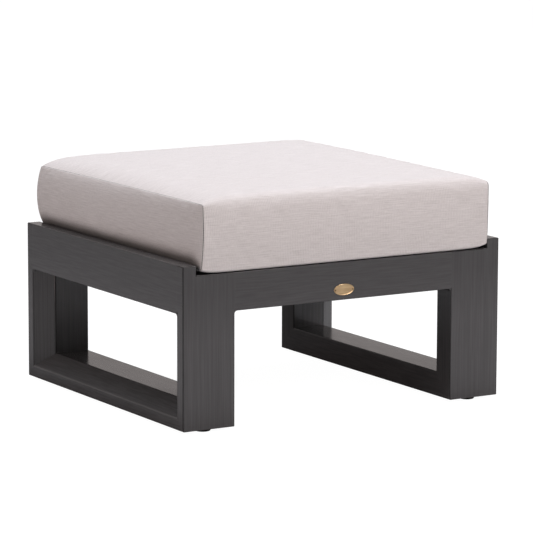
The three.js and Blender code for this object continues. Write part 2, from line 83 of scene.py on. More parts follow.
# One coordinate of a vector.
def axisOf(tree, vector, axis):
    return put(tree, "SeparateXYZ", {0: vector}, axis)


# The sum of sockets times their shares.
def summed(tree, *terms):
    total = 0.0
    for socket, share in terms:
        total = maths(tree, "MULTIPLY_ADD", socket, share, total)
    return total


# Maps low to high onto toLow to toHigh, and holds the value between these.
def spread(tree, value, low, high, toLow=0.0, toHigh=1.0, curve="LINEAR"):
    return put(tree, "MapRange", {
        "Value": value, "From Min": low, "From Max": high, "To Min": toLow, "To Max": toHigh,
    }, "Result", interpolation_type=curve)


def noise(tree, vector, scale, detail, output="Fac", roughness=0.5):
    return put(tree, "TexNoise", {"Vector": vector, "Scale": scale, "Detail": detail,
                                  "Roughness": roughness}, output)


def mixed(tree, share, first, second):
    return put(tree, "Mix", {"Factor": share, 6: first, 7: second}, 2,
               data_type="RGBA", clamp_factor=True)


# A bare material: its node tree, its Principled shader and its coordinates.
def newFinish(name):
    material = bpy.data.materials.new(name)
    material.use_nodes = True
    tree = material.node_tree
    return material, tree, tree.nodes["Principled BSDF"], put(tree, "TexCoord", {}).outputs


def newObject(name, data):
    thing = bpy.data.objects.new(name, data)
    bpy.context.scene.collection.objects.link(thing)
    return thing


# Camera and studio.
cameraPlace = {
    "spot": (-3.35525, -5.63514, 1.33065),
    "yaw": 30.889,
    "pitch": 9.366,
    "roll": 0.159,
    "lens": 222.77,
    "sensor": 36,
    "clip": (0.05, 60),
}


# The lens looks to the rear, turned by yaw about Z, then pitched down, then rolled.
def makeCamera(place):
    yaw, pitch, roll = (math.radians(place[key]) for key in ("yaw", "pitch", "roll"))
    ahead = Vector((
        math.sin(yaw) * math.cos(pitch), math.cos(yaw) * math.cos(pitch), -math.sin(pitch)))
    across = Vector((math.cos(yaw), -math.sin(yaw), 0))
    over = across.cross(ahead)
    sideways = math.cos(roll) * across + math.sin(roll) * over
    upwards = -math.sin(roll) * across + math.cos(roll) * over
    data = bpy.data.cameras.new("studioCamera")
    data.lens = place["lens"]
    data.sensor_width = place["sensor"]
    data.clip_start, data.clip_end = place["clip"]
    camera = newObject("studioCamera", data)
    turn = Matrix((sideways, upwards, -ahead)).transposed().to_4x4()
    camera.matrix_world = Matrix.Translation(place["spot"]) @ turn
    bpy.context.scene.camera = camera


makeCamera(cameraPlace)

studio = {
    "room": (0.15, 0.147, 0.1455),
    "band": (0.425, 0.38, 0.37),
    "bandTop": (0.22, 0.45),
    "bandSide": (-0.2, 0.9),
    "backdrop": 1.0,
    "floorColour": (0.80, 0.80, 0.80, 1),
    "floorRoughness": 0.9,
    "floorBounce": (0.50, 0.50, 0.50, 1),
    "paintedShadowBounce": (0.04, 0.04, 0.04, 1),
    "paintedShadowMiddle": (-0.02, 0.55, 0),
    "paintedShadowHalf": (0.40, 0.87, 1),
    "paintedShadowFade": (0.8, 1.15),
    "floorGlow": 1.16,
    "floorGlowShare": 0.85,
    "floorSize": 60000,
    "boxes": {
        "ceilingLight": {"spot": (300, 600, 3500), "size": 2600, "power": 91,
                         "tint": (0.973, 1.0, 1.08)},
        "frontLight": {"spot": (1100, -3700, 3300), "size": 2000, "power": 118,
                       "tint": (1.09, 1.0, 1.005)},
        "sideLight": {"spot": (-4600, -200, 1250), "size": 2000, "power": 32,
                      "tint": (1.22, 1.0, 0.97)},
    },
    "aim": (0, 0, 300),
}


def makeRoom(kit):
    # The room is brighter behind the object than in front of it, and plain white to the lens.
    world = bpy.data.worlds.new("studioRoom")
    bpy.context.scene.world = world
    world.use_nodes = True
    tree = world.node_tree
    tree.nodes.clear()
    heading = put(tree, "TexCoord", {}, "Generated")
    yaw = math.radians(cameraPlace["yaw"])
    behind = vectors(tree, "DOT_PRODUCT", heading, (math.sin(yaw), math.cos(yaw), 0))
    level = maths(
        tree, "MULTIPLY", spread(tree, behind, *kit["bandSide"], curve="SMOOTHSTEP"),
        spread(tree, axisOf(tree, heading, "Z"), *kit["bandTop"], 1.0, 0.0, "SMOOTHSTEP"))
    shade = vectors(tree, "ADD", vectors(tree, "SCALE", kit["band"], level), kit["room"])
    room = put(tree, "Background", {"Color": shade, "Strength": 1.0}, 0)
    plain = put(tree, "Background", {"Color": (1, 1, 1, 1), "Strength": kit["backdrop"]}, 0)
    seen = put(tree, "LightPath", {}, "Is Camera Ray")
    put(tree, "OutputWorld", {
        "Surface": put(tree, "MixShader", {0: seen, 1: room, 2: plain}, 0)})


# Square lamps that face one point over the floor.
def makeLights(kit):
    for name, box in kit["boxes"].items():
        lamp = bpy.data.lights.new(name, "AREA")
        lamp.shape = "SQUARE"
        lamp.size = box["size"] * mm
        lamp.energy = box["power"]
        lamp.color = box["tint"]
        light = newObject(name, lamp)
        light.location = Vector(box["spot"]) * mm
        light.rotation_euler = (Vector(kit["aim"]) - Vector(box["spot"])).to_track_quat(
            "-Z", "Y").to_euler()


def makeFloor(kit):
    half = kit["floorSize"] * mm / 2
    mesh = bpy.data.meshes.new("studioFloor")
    mesh.from_pydata([(-half, -half, 0), (half, -half, 0), (half, half, 0), (-half, half, 0)],
                     [], [(0, 1, 2, 3)])
    # To the lens the floor is nearly white with a faint shadow. To the object it is duller, with a
    # painted shadow: a dark patch beneath it and to the rear, where its shadow falls.
    material, tree, shader, spots = newFinish("paleFloor")
    seen = put(tree, "LightPath", {}, "Is Camera Ray")
    spot = vectors(tree, "SUBTRACT", spots["Object"], kit["paintedShadowMiddle"])
    spot = vectors(tree, "ABSOLUTE", vectors(tree, "DIVIDE", spot, kit["paintedShadowHalf"]))
    away = maths(tree, "MAXIMUM", axisOf(tree, spot, "X"), axisOf(tree, spot, "Y"))
    bounce = mixed(tree, spread(tree, away, *kit["paintedShadowFade"]), kit["paintedShadowBounce"],
                   kit["floorBounce"])
    feedAll(tree, shader, {"Base Color": mixed(tree, seen, bounce, kit["floorColour"]),
                           "Roughness": kit["floorRoughness"]})
    glow = put(tree, "Emission", {"Strength": kit["floorGlow"]}, 0)
    share = maths(tree, "MULTIPLY", seen, kit["floorGlowShare"])
    both = put(tree, "MixShader", {0: share, 1: shader.outputs[0], 2: glow}, 0)
    feed(tree, tree.nodes["Material Output"].inputs["Surface"], both)
    mesh.materials.append(material)
    newObject("studioFloor", mesh)


bpy.context.scene.view_settings.view_transform = "Standard"
bpy.context.scene.view_settings.look = "None"
makeRoom(studio)
makeLights(studio)
makeFloor(studio)
print("camera and studio made")


# Shared effects.
# Makes a node group. The rule takes the tree and the inputs, and gives the outputs by label.
def makeGroup(name, takes, rule):
    tree = bpy.data.node_groups.new(name, "ShaderNodeTree")
    for label, value in {"Vector": (0, 0, 0), **takes}.items():
        kind = "Vector" if isinstance(value, tuple) else "Float"
        entry = tree.interface.new_socket(label, in_out="INPUT", socket_type="NodeSocket" + kind)
        entry.default_value = value
    made = rule(tree, tree.nodes.new("NodeGroupInput").outputs)
    for label in made:
        tree.interface.new_socket(label, in_out="OUTPUT", socket_type="NodeSocketFloat")
    feedAll(tree, tree.nodes.new("NodeGroupOutput"), made)
    return tree


# Places a group in a material with its own values, and gives its outputs.
def useGroup(tree, group, **inputs):
    return put(tree, "Group", inputs, node_tree=group).outputs


def grainRule(tree, given):
    # Streaks of three widths, drawn out along the brushing and bent a little by a slow wave.
    slow = noise(tree, given["Vector"], 9.0, 1.0, "Color")
    bend = vectors(tree, "SUBTRACT", slow, (0.5, 0.5, 0.5))
    spot = vectors(tree, "ADD", given["Vector"], vectors(tree, "SCALE", bend, given["Wave"]))
    spot = vectors(tree, "MULTIPLY", spot, given["Stretch"])
    fine, middle, broad = (noise(tree, spot, scale, detail) for scale, detail in (
        (850.0, 1.0), (300.0, 0.5), (70.0, 0.5)))
    return {"Tone": summed(tree, (middle, 0.55), (fine, 0.35), (broad, 0.1)),
            "Height": summed(tree, (fine, 0.5), (middle, 0.5))}


# The edge mask lightens edges: wear on plastic and metal, wear and a painted highlight on the
# frame's coat.
def wearAndHighlightRule(tree, given):
    # Convex edges: rays cast inwards from them soon meet the next face. Noise breaks them up.
    inside = put(tree, "AmbientOcclusion", {"Distance": given["Reach"]}, "AO", inside=True,
                 only_local=True, samples=6)
    mask = maths(tree, "MULTIPLY", spread(tree, inside, 0.95, 0.55, curve="SMOOTHSTEP"),
                 spread(tree, noise(tree, given["Vector"], 45.0, 4.0), 0.35, 0.7))
    return {"Mask": maths(tree, "MULTIPLY", mask, given["Amount"])}


def dustRule(tree, given):
    # Faces that look up gather a thin, cloudy film.
    facing = axisOf(tree, put(tree, "NewGeometry", {}, "Normal"), "Z")
    mask = maths(tree, "MULTIPLY", spread(tree, facing, 0.3, 1.0, curve="SMOOTHSTEP"),
                 spread(tree, noise(tree, given["Vector"], 14.0, 5.0), 0.3, 0.75))
    return {"Mask": maths(tree, "MULTIPLY", mask, given["Amount"])}


def speckRule(tree, given):
    # The fine orange peel of sprayed powder and of moulded plastic.
    cells = put(tree, "TexVoronoi", {"Vector": given["Vector"], "Scale": given["Size"]},
                "Distance", feature="SMOOTH_F1")
    return {"Height": summed(tree, (cells, 0.5), (noise(tree, given["Vector"], 700.0, 2.0), 0.5))}


def weaveRule(tree, given):
    # Plain weave. A warp thread lies over or under by the sign of the product of two sines, and
    # each thread is a rounded ridge. Slubs are noise drawn out along the weft.
    spot = given["Vector"]
    turn = maths(tree, "DIVIDE", math.pi, given["Pitch"])
    wobble = maths(tree, "MULTIPLY_ADD", noise(tree, spot, 60.0, 2.0), 1.6, -0.8)
    warp, weft = (
        maths(tree, "SINE", maths(tree, "MULTIPLY_ADD", axisOf(tree, spot, axis), turn, wobble))
        for axis in "XY")
    over = maths(tree, "MULTIPLY_ADD", maths(tree, "MULTIPLY", warp, weft), 3.0, 0.5)
    height = put(tree, "Mix", {"Factor": over, "A": maths(tree, "ABSOLUTE", weft),
                               "B": maths(tree, "ABSOLUTE", warp)}, "Result", clamp_factor=True)
    slub, yarn = (vectors(tree, "MULTIPLY", spot, drawn) for drawn in (
        (26.0, 520.0, 1.0), (900.0, 120.0, 1.0)))
    rib = maths(tree, "DIVIDE", 2 * math.pi, given["Rib"])
    ribs = maths(tree, "SINE", maths(tree, "MULTIPLY", axisOf(tree, spot, "X"), rib))
    place = spread(tree, noise(tree, spot, 11.0, 2.0), 0.42, 0.62)
    return {"Height": height, "Slub": noise(tree, slub, 1.0, 3.0, roughness=0.6),
            "Yarn": noise(tree, yarn, 1.0, 2.0), "Ribs": maths(tree, "MULTIPLY", ribs, place)}


grainGroup = makeGroup("brushedGrain", {"Stretch": (1, 1, 1), "Wave": 0.004}, grainRule)
wearAndHighlightGroup = makeGroup("edgeWearAndHighlight", {"Amount": 0.5, "Reach": 0.002}, wearAndHighlightRule)
dustGroup = makeGroup("settledDust", {"Amount": 0.1}, dustRule)
speckGroup = makeGroup("sprayedSpeck", {"Size": 1800.0}, speckRule)
weaveGroup = makeGroup("plainWeave", {"Pitch": 0.0011, "Rib": 0.0037}, weaveRule)


# Finishes.
def bumped(tree, shader, height, strength, distance, under=None):
    inputs = {"Height": height, "Strength": strength, "Distance": distance}
    if under is not None:
        inputs["Normal"] = under
    normal = put(tree, "Bump", inputs, 0)
    feed(tree, shader.inputs["Normal"], normal)
    return normal


# The colour, with another over it where a group's mask says.
def covered(tree, group, spots, amount, colour, over):
    mask = useGroup(tree, group, Vector=spots["Object"], Amount=amount)["Mask"]
    return mixed(tree, mask, colour, over)


brushedCoat = {
    "dark": (0.075, 0.074, 0.075, 1),
    "light": (0.095, 0.094, 0.095, 1),
    "tone": (0.36, 0.64),
    "wornAndHighlight": (0.16, 0.155, 0.155, 1),
    "wornAndHighlightShare": 0.12,
    "dust": (0.16, 0.155, 0.15, 1),
    "dustShare": 0.1,
    # thick: painted shade, the colour scale from 1.0 below 170 mm to 0.78 above 270 mm.
    "thick": (0.17, 0.27, 1.0, 0.78),
    "drawn": (0.05, 0.05, 0.016),
    "roughness": (0.17, 0.25),
    "speck": 2200.0,
    "wave": 0.004,
    "ior": 1.5,
}
# A darker copy of the coat for the legs' rounded edges: painted shade.
edgeShadeLook = {**brushedCoat, "dark": (0.03, 0.03, 0.03, 1), "light": (0.042, 0.042, 0.042, 1)}
deckLook = {**brushedCoat, "dark": (0.052, 0.051, 0.052, 1), "light": (0.072, 0.071, 0.072, 1),
            "drawn": (0.12, 0.12, 0.12), "roughness": (0.38, 0.5)}


# Charcoal powder coat, brushed along one axis.
def makeCoat(name, axis, look):
    material, tree, shader, spots = newFinish(name)
    stretch = [1.0, 1.0, 1.0]
    stretch[axis] = look["drawn"][axis]
    grain = useGroup(tree, grainGroup, Vector=spots["Object"], Stretch=stretch,
                     Wave=look["wave"])
    colour = mixed(tree, spread(tree, grain["Tone"], *look["tone"]), look["dark"], look["light"])
    # Painted shade: the coat darkens towards the top of the frame, as if shaded by the cushion.
    height = spread(tree, axisOf(tree, spots["Object"], "Z"), *look["thick"])
    colour = vectors(tree, "SCALE", colour, height)
    # Lighter convex edges: partly edge wear, partly a painted highlight along the rounded edges.
    colour = covered(tree, wearAndHighlightGroup, spots, look["wornAndHighlightShare"], colour, look["wornAndHighlight"])
    colour = covered(tree, dustGroup, spots, look["dustShare"], colour, look["dust"])
    speck = useGroup(tree, speckGroup, Vector=spots["Object"], Size=look["speck"])["Height"]
    under = bumped(tree, shader, speck, 0.06, 0.0001)
    bumped(tree, shader, grain["Height"], 0.09, 0.00012, under)
    feedAll(tree, shader, {
        "Base Color": colour, "IOR": look["ior"],
        "Roughness": spread(tree, grain["Tone"], 0.3, 0.7, *look["roughness"])})
    return material


plasticLooks = {
    "mouldedNylon": {"dark": (0.006, 0.006, 0.006, 1), "light": (0.017, 0.017, 0.017, 1),
                     "wornAndHighlight": (0.06, 0.06, 0.058, 1)},
    "toothPlastic": {"dark": (0.47, 0.44, 0.41, 1), "light": (0.6, 0.57, 0.54, 1),
                     "wornAndHighlight": (0.7, 0.67, 0.64, 1)},
}


# Moulded plastic: a cloudy colour, rubbed edges and a fine orange peel.
def makePlastic(name, look):
    material, tree, shader, spots = newFinish(name)
    cloud = noise(tree, spots["Object"], 160.0, 4.0)
    colour = mixed(tree, cloud, look["dark"], look["light"])
    colour = covered(tree, wearAndHighlightGroup, spots, 0.4, colour, look["wornAndHighlight"])
    speck = useGroup(tree, speckGroup, Vector=spots["Object"], Size=2600.0)["Height"]
    bumped(tree, shader, speck, 0.2, 0.0001)
    feedAll(tree, shader, {"Base Color": colour,
                           "Roughness": spread(tree, cloud, 0.2, 0.8, 0.42, 0.6)})
    return material


metalLooks = {
    "zincSteel": {"dark": (0.42, 0.43, 0.44, 1), "light": (0.68, 0.69, 0.7, 1),
                  "roughness": (0.22, 0.4), "stretch": (1, 1, 1)},
    "brushedGold": {"dark": (0.58, 0.385, 0.20, 1), "light": (0.80, 0.585, 0.345, 1),
                    "roughness": (0.3, 0.48), "stretch": (0.05, 1, 1)},
    "agedGold": {"dark": (0.16, 0.10, 0.045, 1), "light": (0.3, 0.2, 0.1, 1),
                 "roughness": (0.35, 0.5), "stretch": (1, 1, 1)},
    "gunmetal": {"dark": (0.22, 0.21, 0.2, 1), "light": (0.38, 0.37, 0.36, 1),
                 "roughness": (0.25, 0.42), "stretch": (0.1, 1, 1)},
}


# Bare metal with a drawn or an even grain, brighter where its edges are rubbed.
def makeMetal(name, look):
    material, tree, shader, spots = newFinish(name)
    grain = useGroup(tree, grainGroup, Vector=spots["Object"], Stretch=look["stretch"],
                     Wave=0.0005)
    colour = mixed(tree, spread(tree, grain["Tone"], 0.35, 0.65), look["dark"], look["light"])
    bright = [min(1.0, 1.35 * value) for value in look["light"]]
    colour = covered(tree, wearAndHighlightGroup, spots, 0.5, colour, bright)
    bumped(tree, shader, grain["Height"], 0.25, 0.00008)
    feedAll(tree, shader, {
        "Base Color": colour, "Metallic": 1.0,
        "Roughness": spread(tree, grain["Tone"], 0.3, 0.7, *look["roughness"])})
    return material


coverLook = {
    "dark": (0.57, 0.535, 0.515, 1),
    "light": (0.80, 0.765, 0.745, 1),
    "tone": (0.3, 0.65),
    "stitchedFoldShade": (0.16, 0.14, 0.13, 1),
    "stitchPitch": 0.0048,
    "contactShade": (0.08, 0.072, 0.068, 1),
    "contactShadeReach": 0.045,
    "contactShadeRange": (0.12, 0.86),
    "contactShadeAside": (0.2, 0.8, 0.1, 1.0),
    "pitch": 0.0011,
    "rib": 0.0037,
}
tapeLook = {**coverLook, "dark": (0.5, 0.46, 0.43, 1), "pitch": 0.0006}


# Woven melange cloth, whose threads and slubs follow the piece's own map.
def makeCloth(name, look):
    material, tree, shader, spots = newFinish(name)
    weave = useGroup(tree, weaveGroup, Vector=spots["UV"], Pitch=look["pitch"], Rib=look["rib"])
    tone = summed(tree, (weave["Slub"], 0.55), (weave["Yarn"], 0.3), (weave["Height"], 0.12),
                  (weave["Ribs"], 0.07))
    colour = mixed(tree, spread(tree, tone, *look["tone"]), look["dark"], look["light"])
    # Painted shade: the upright seams are darkened as the shadow of their fold, broken by a stitch
    # pattern.
    seam = put(tree, "Attribute", {}, "Fac", attribute_name="seam")
    stitchedFoldShade = maths(tree, "SINE", maths(tree, "MULTIPLY", axisOf(tree, spots["UV"], "Y"),
                                       2 * math.pi / look["stitchPitch"]))
    seam = maths(tree, "MULTIPLY", seam, maths(tree, "MULTIPLY_ADD", stitchedFoldShade, 0.3, 0.7))
    colour = mixed(tree, seam, colour, look["stitchedFoldShade"])
    # Painted shade: cloth that lies close to the side rails is darkened as a contact shadow, most
    # where it faces sideways.
    near = put(tree, "AmbientOcclusion", {"Distance": look["contactShadeReach"]}, "AO", samples=8)
    near = spread(tree, near, *look["contactShadeRange"], 1.0, 0.0)
    aside = axisOf(tree, put(tree, "NewGeometry", {}, "Normal"), "X")
    aside = spread(tree, maths(tree, "ABSOLUTE", aside), *look["contactShadeAside"])
    colour = mixed(tree, maths(tree, "MULTIPLY", near, aside), colour, look["contactShade"])
    under = bumped(tree, shader, weave["Slub"], 0.25, 0.0004)
    bumped(tree, shader, weave["Height"], 0.35, 0.00025, under)
    feedAll(tree, shader, {
        "Base Color": colour, "Roughness": spread(tree, tone, *look["tone"], 0.96, 0.84),
        "Specular IOR Level": 0.25, "Sheen Weight": 0.18, "Sheen Roughness": 0.5})
    return material


# Open foam or loose fibre: cells over a soft cloud.
def makeFluff(name, dark, light, scale, depth):
    material, tree, shader, spots = newFinish(name)
    cells = put(tree, "TexVoronoi", {"Vector": spots["Object"], "Scale": scale}, "Distance")
    cloud = noise(tree, spots["Object"], scale / 12, 5.0)
    tone = summed(tree, (cells, 0.6), (cloud, 0.6))
    bumped(tree, shader, tone, 0.6, depth)
    feedAll(tree, shader, {
        "Base Color": mixed(tree, spread(tree, tone, 0.25, 0.9), light, dark),
        "Roughness": 0.95, "Specular IOR Level": 0.1})
    return material


coats = [makeCoat("brushedCoat" + letter, axis, brushedCoat)
         for axis, letter in enumerate("XYZ")]
edgeShadeCoat = makeCoat("brushedCoatEdgeShade", 2, edgeShadeLook)
deckCoats = [makeCoat("deckCoat" + letter, axis, deckLook) for axis, letter in enumerate("XY")]
nylon, toothPlastic = (makePlastic(name, look) for name, look in plasticLooks.items())
steel, gold, agedGold, zipMetal = (makeMetal(name, look) for name, look in metalLooks.items())
coverCloth = makeCloth("linenCloth", coverLook)
tapeCloth = makeCloth("zipTapeCloth", tapeLook)
foam = makeFluff("openFoam", (0.62, 0.55, 0.34, 1), (0.84, 0.78, 0.55, 1), 900, 0.0006)
fibre = makeFluff("looseFibre", (0.74, 0.74, 0.72, 1), (0.93, 0.93, 0.92, 1), 260, 0.0015)
print("finishes made")


# Mesh tools.
# A mesh piece from points in millimetres. Faces may have any number of corners.
def newPiece(name, points, faces, body, finish, slot, replaced=(), uv=None):
    mesh = bpy.data.meshes.new(name)
    mesh.from_pydata(np.asarray(points) * mm, [], faces)
    mesh.materials.append(finish)
    mesh.shade_smooth()
    if uv is not None:
        layer = mesh.uv_layers.new(name="clothMap")
        layer.data.foreach_set("uv", np.asarray(uv, np.float32).ravel())
    piece = newObject(name, mesh)
    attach(piece, body)
    if replaced:
        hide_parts(*replaced)
    return piece


# A mesh's coordinates or normals, and the way back.
def pointsOf(mesh, key="co"):
    points = np.zeros(3 * len(mesh.vertices), np.float32)
    mesh.vertices.foreach_get(key, points)
    return points.reshape(-1, 3)


def setPoints(mesh, points):
    mesh.vertices.foreach_set("co", np.asarray(points, np.float32).ravel())


def addLayer(mesh, name, kind, domain, values):
    mesh.attributes.new(name, kind, domain).data.foreach_set("value", values)


# A table of vertex numbers whose columns, or rows too, run on into the first.
def numbered(rows, columns, bothWays=False):
    ids = np.arange(rows * columns).reshape(rows, columns)
    if bothWays:
        ids = np.vstack([ids, ids[:1]])
    return np.hstack([ids, ids[:, :1]])


# Quads between neighbouring rows and columns of a table of vertex numbers.
def gridFaces(ids):
    return np.stack([ids[:-1, :-1], ids[:-1, 1:], ids[1:, 1:], ids[1:, :-1]], -1).reshape(-1, 4)


# Rings with a flat face at each end.
def tubeFaces(rows, columns):
    ids = numbered(rows, columns)
    return gridFaces(ids).tolist() + [tuple(ids[0, :-1]), tuple(ids[-1, :-1][::-1])]


# Rings between two poles, which come last in the list of points.
def polarFaces(rows, columns):
    ids = numbered(rows, columns)
    low, high = rows * columns, rows * columns + 1
    return (gridFaces(ids).tolist() + [(low, b, a) for a, b in zip(ids[0, :-1], ids[0, 1:])]
            + [(high, a, b) for a, b in zip(ids[-1, :-1], ids[-1, 1:])])


# Quads from each side of an outline to the same side of its copy.
def sideFaces(count):
    return [((k + 1) % count, k, k + count, (k + 1) % count + count) for k in range(count)]


# An outline's two ends and its sides.
def prismFaces(count):
    ends = [tuple(range(count)), tuple(range(2 * count - 1, count - 1, -1))]
    return ends + sideFaces(count)


# Turns every face over where the closed shape they make has a volume below nought.
def facedOut(points, faces):
    corners = np.asarray(points)
    volume = sum(np.dot(corners[f[0]], np.cross(corners[f[k]], corners[f[k + 1]]))
                 for f in faces for k in range(1, len(f) - 1))
    return faces if volume > 0 else [tuple(reversed(f)) for f in faces]


# Several (points, faces) pairs as one.
def joined(parts):
    points, faces, start = [], [], 0
    for somePoints, someFaces in parts:
        points.append(np.asarray(somePoints, float))
        faces += [tuple(start + k for k in face) for face in someFaces]
        start += len(somePoints)
    return np.vstack(points), faces


# Rounds chosen edges with a Bevel modifier. radii maps vertex pairs to millimetres.
def roundEdges(piece, radii, segments=4):
    mesh = piece.data
    largest = max(radii.values())
    wanted = {frozenset(pair): radius / largest for pair, radius in radii.items()}
    ends = np.zeros(2 * len(mesh.edges), int)
    mesh.edges.foreach_get("vertices", ends)
    weights = np.array([wanted.get(frozenset(pair), 0.0)
                        for pair in ends.reshape(-1, 2).tolist()], np.float32)
    addLayer(mesh, "bevel_weight_edge", "FLOAT", "EDGE", weights)
    addLayer(mesh, "sharp_edge", "BOOLEAN", "EDGE", weights == 0)
    bevel = piece.modifiers.new("roundedEdges", "BEVEL")
    bevel.limit_method = "WEIGHT"
    bevel.width = largest * mm
    bevel.segments = segments
    bevel.harden_normals = True


# Rounds every edge that turns more than an angle.
def easeEdges(piece, sharpest, width, segments):
    bevel = piece.modifiers.new("easedEdges", "BEVEL")
    bevel.limit_method = "ANGLE"
    bevel.angle_limit = math.radians(sharpest)
    bevel.width = width * mm
    bevel.segments = segments
    bevel.harden_normals = True


# A profile of (radius, height) turned about a vertical line, closed at both poles.
# Point = centre + (radius cos a, radius sin a, height).
def turnedPiece(name, profile, centre, sides, body, finish, slot, replaced):
    profile = np.array(profile, float)
    angle = np.linspace(0, 2 * math.pi, sides, endpoint=False)
    rings = np.stack([
        profile[1:-1, :1] * np.cos(angle), profile[1:-1, :1] * np.sin(angle),
        np.repeat(profile[1:-1, 1:], sides, 1)], -1).reshape(-1, 3)
    points = np.vstack([rings, [0, 0, profile[0, 1]], [0, 0, profile[-1, 1]]]) + centre
    return newPiece(name, points, polarFaces(len(profile) - 2, sides), body, finish, slot,
                    replaced)


# Lowest and highest corner of a node, in millimetres.
def boxOf(node):
    low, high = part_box(node)
    return np.array(low) / mm, np.array(high) / mm


# Frame: hollow bars with rounded edges.
bars = {
    "size": (720.0, 646.0),
    "lift": 6.5,
    "loopWidth": 113.0,
    "loopDepth": 50.0,
    "loopEdge": 24.0,
    "bevelWidth": 38.0,
    "railWidth": 29.0,
    "railBottom": 223.5,
    "railTop": 317.0,
    "seatTop": 298.0,
    "longRound": 2.5,
    "innerRound": 2.0,
    "openingRound": 1.5,
    "jointSteps": (3.0, 7.0),
    "weldRound": 6.0,
    "weldInset": 1.2,
    "weldSunk": 0.2,
}
signs = {(side, end): (1 if side == "right" else -1, 1 if end == "rear" else -1)
         for side in ("left", "right") for end in ("front", "rear")}


# Local points run inwards from the outer side and inwards from the front or rear.
def intoWorld(points, signX, signY):
    wide, deep = bars["size"]
    x, y, z = np.asarray(points, float).T
    return np.stack([signX * (wide / 2 - x), signY * (deep / 2 - y), z + bars["lift"]], -1)


# Depth of the loop's bevel at a distance from the outer side.
def bevelAt(kit, across):
    return kit["loopEdge"] + (kit["loopDepth"] - kit["loopEdge"]) / kit["bevelWidth"] * across


# A flat-faced bar whose listed edges are rounded.
def sharpBar(name, points, faces, radii, finish, replaced):
    piece = newPiece(name + "_shell", points, facedOut(points, faces), "frame", finish,
                     "frame_coat", replaced)
    roundEdges(piece, radii)
    return piece


def makeLeg(kit, side, end):
    # The outline runs along x and z. Each point's back lies straight behind its front, at the
    # depth of the bevel, and the foot is mitred where the runner joins it.
    w, low, seat, top = kit["loopWidth"], kit["railBottom"], kit["seatTop"], kit["railTop"]
    inStep, outStep = kit["jointSteps"]
    outline = np.array([
        (0, 0), (kit["bevelWidth"], 0), (w, 0), (w, low), (w, low + inStep), (w, seat),
        (kit["bevelWidth"], seat), (kit["railWidth"], seat), (kit["railWidth"], top), (0, top),
        (0, low + outStep), (0, low)], float)
    depth = np.minimum(kit["loopDepth"], bevelAt(kit, outline[:, 0]))
    count = len(outline)
    front = np.stack([outline[:, 0], 0 * depth, outline[:, 1]], -1)
    back = np.stack([outline[:, 0], depth, np.where(outline[:, 1] == 0, depth, outline[:, 1])], -1)
    points = intoWorld(np.vstack([front, back]), *signs[side, end])
    faces = [tuple(range(count))] + sideFaces(count)
    faces += [tuple(k + count for k in (6, 5, 4, 3, 2, 1)),
              tuple(k + count for k in (11, 10, 9, 8, 7, 6, 1, 0))]
    long, inner, opening = kit["longRound"], kit["innerRound"], kit["openingRound"]
    radii = {(9, 10): long, (10, 11): long, (11, 0): long, (2, 3): opening, (5, 6): opening,
             (6, 7): opening, (7, 8): opening, (8, 9): opening}
    backs = {(11, 0): long, (1, 6): inner, (2, 3): inner, (3, 4): inner, (4, 5): inner,
             (5, 6): opening}
    radii.update({(a + count, b + count): r for (a, b), r in backs.items()})
    radii.update({(8, 8 + count): inner, (9, 9 + count): inner})
    name = end + "_" + side + "_leg"
    piece = sharpBar(name, points, faces, radii, coats[2], (name, name + "_cap"))
    # The outer face at the rail's height is brushed along with the rail, and the rounded edges
    # take a darker copy of the coat: painted shade, a dark line along each turned edge.
    piece.data.materials.append(coats[1])
    piece.data.materials.append(edgeShadeCoat)
    for face in (1 + 9, 1 + 10):
        piece.data.polygons[face].material_index = 1
    piece.modifiers["roundedEdges"].material = 2


# A profile (u, v) carried along x or y from a cut for each of its points to its mirror image.
def makeBar(name, profile, cuts, length, radii, axis, finish, signX, signY):
    rows = [[(u, cut, v) if axis == 1 else (cut, u, v) for (u, v), cut in zip(profile, ends)]
            for ends in (cuts, [length - cut for cut in cuts])]
    count = len(profile)
    sharpBar(name, intoWorld(np.vstack(rows), signX, signY), prismFaces(count),
             {(k, k + count): radius for k, radius in enumerate(radii)}, finish, (name,))


# A runner is mitred to its legs at 45 degrees, a side rail ends on the legs' bevels, and an
# apron at their inner edges.
def makeBars(kit):
    wide, deep = kit["size"]
    low, rail = kit["railBottom"], kit["railWidth"]
    long, inner, opening = kit["longRound"], kit["innerRound"], kit["openingRound"]
    loop = [(0, 0), (kit["loopWidth"], 0), (kit["loopWidth"], kit["loopDepth"]),
            (kit["bevelWidth"], kit["loopDepth"]), (0, kit["loopEdge"])]
    flat = [(0, low), (rail, low), (rail, kit["railTop"]), (0, kit["railTop"])]
    for side, sign in (("left", -1), ("right", 1)):
        makeBar(side + "_runner", loop, [v for u, v in loop], deep,
                [long, opening, inner, inner, long], 1, coats[1], sign, -1)
        makeBar(side + "_side_rail", flat, [bevelAt(kit, u) for u, v in flat], deep,
                [inner] * 4, 1, coats[1], sign, -1)
    flat = [(0, low), (rail, low), (rail, kit["seatTop"]), (0, kit["seatTop"])]
    for end, sign in (("front", -1), ("rear", 1)):
        makeBar(end + "_apron", flat, [kit["loopWidth"]] * 4, wide, [opening] * 4, 0,
                coats[0], 1, sign)


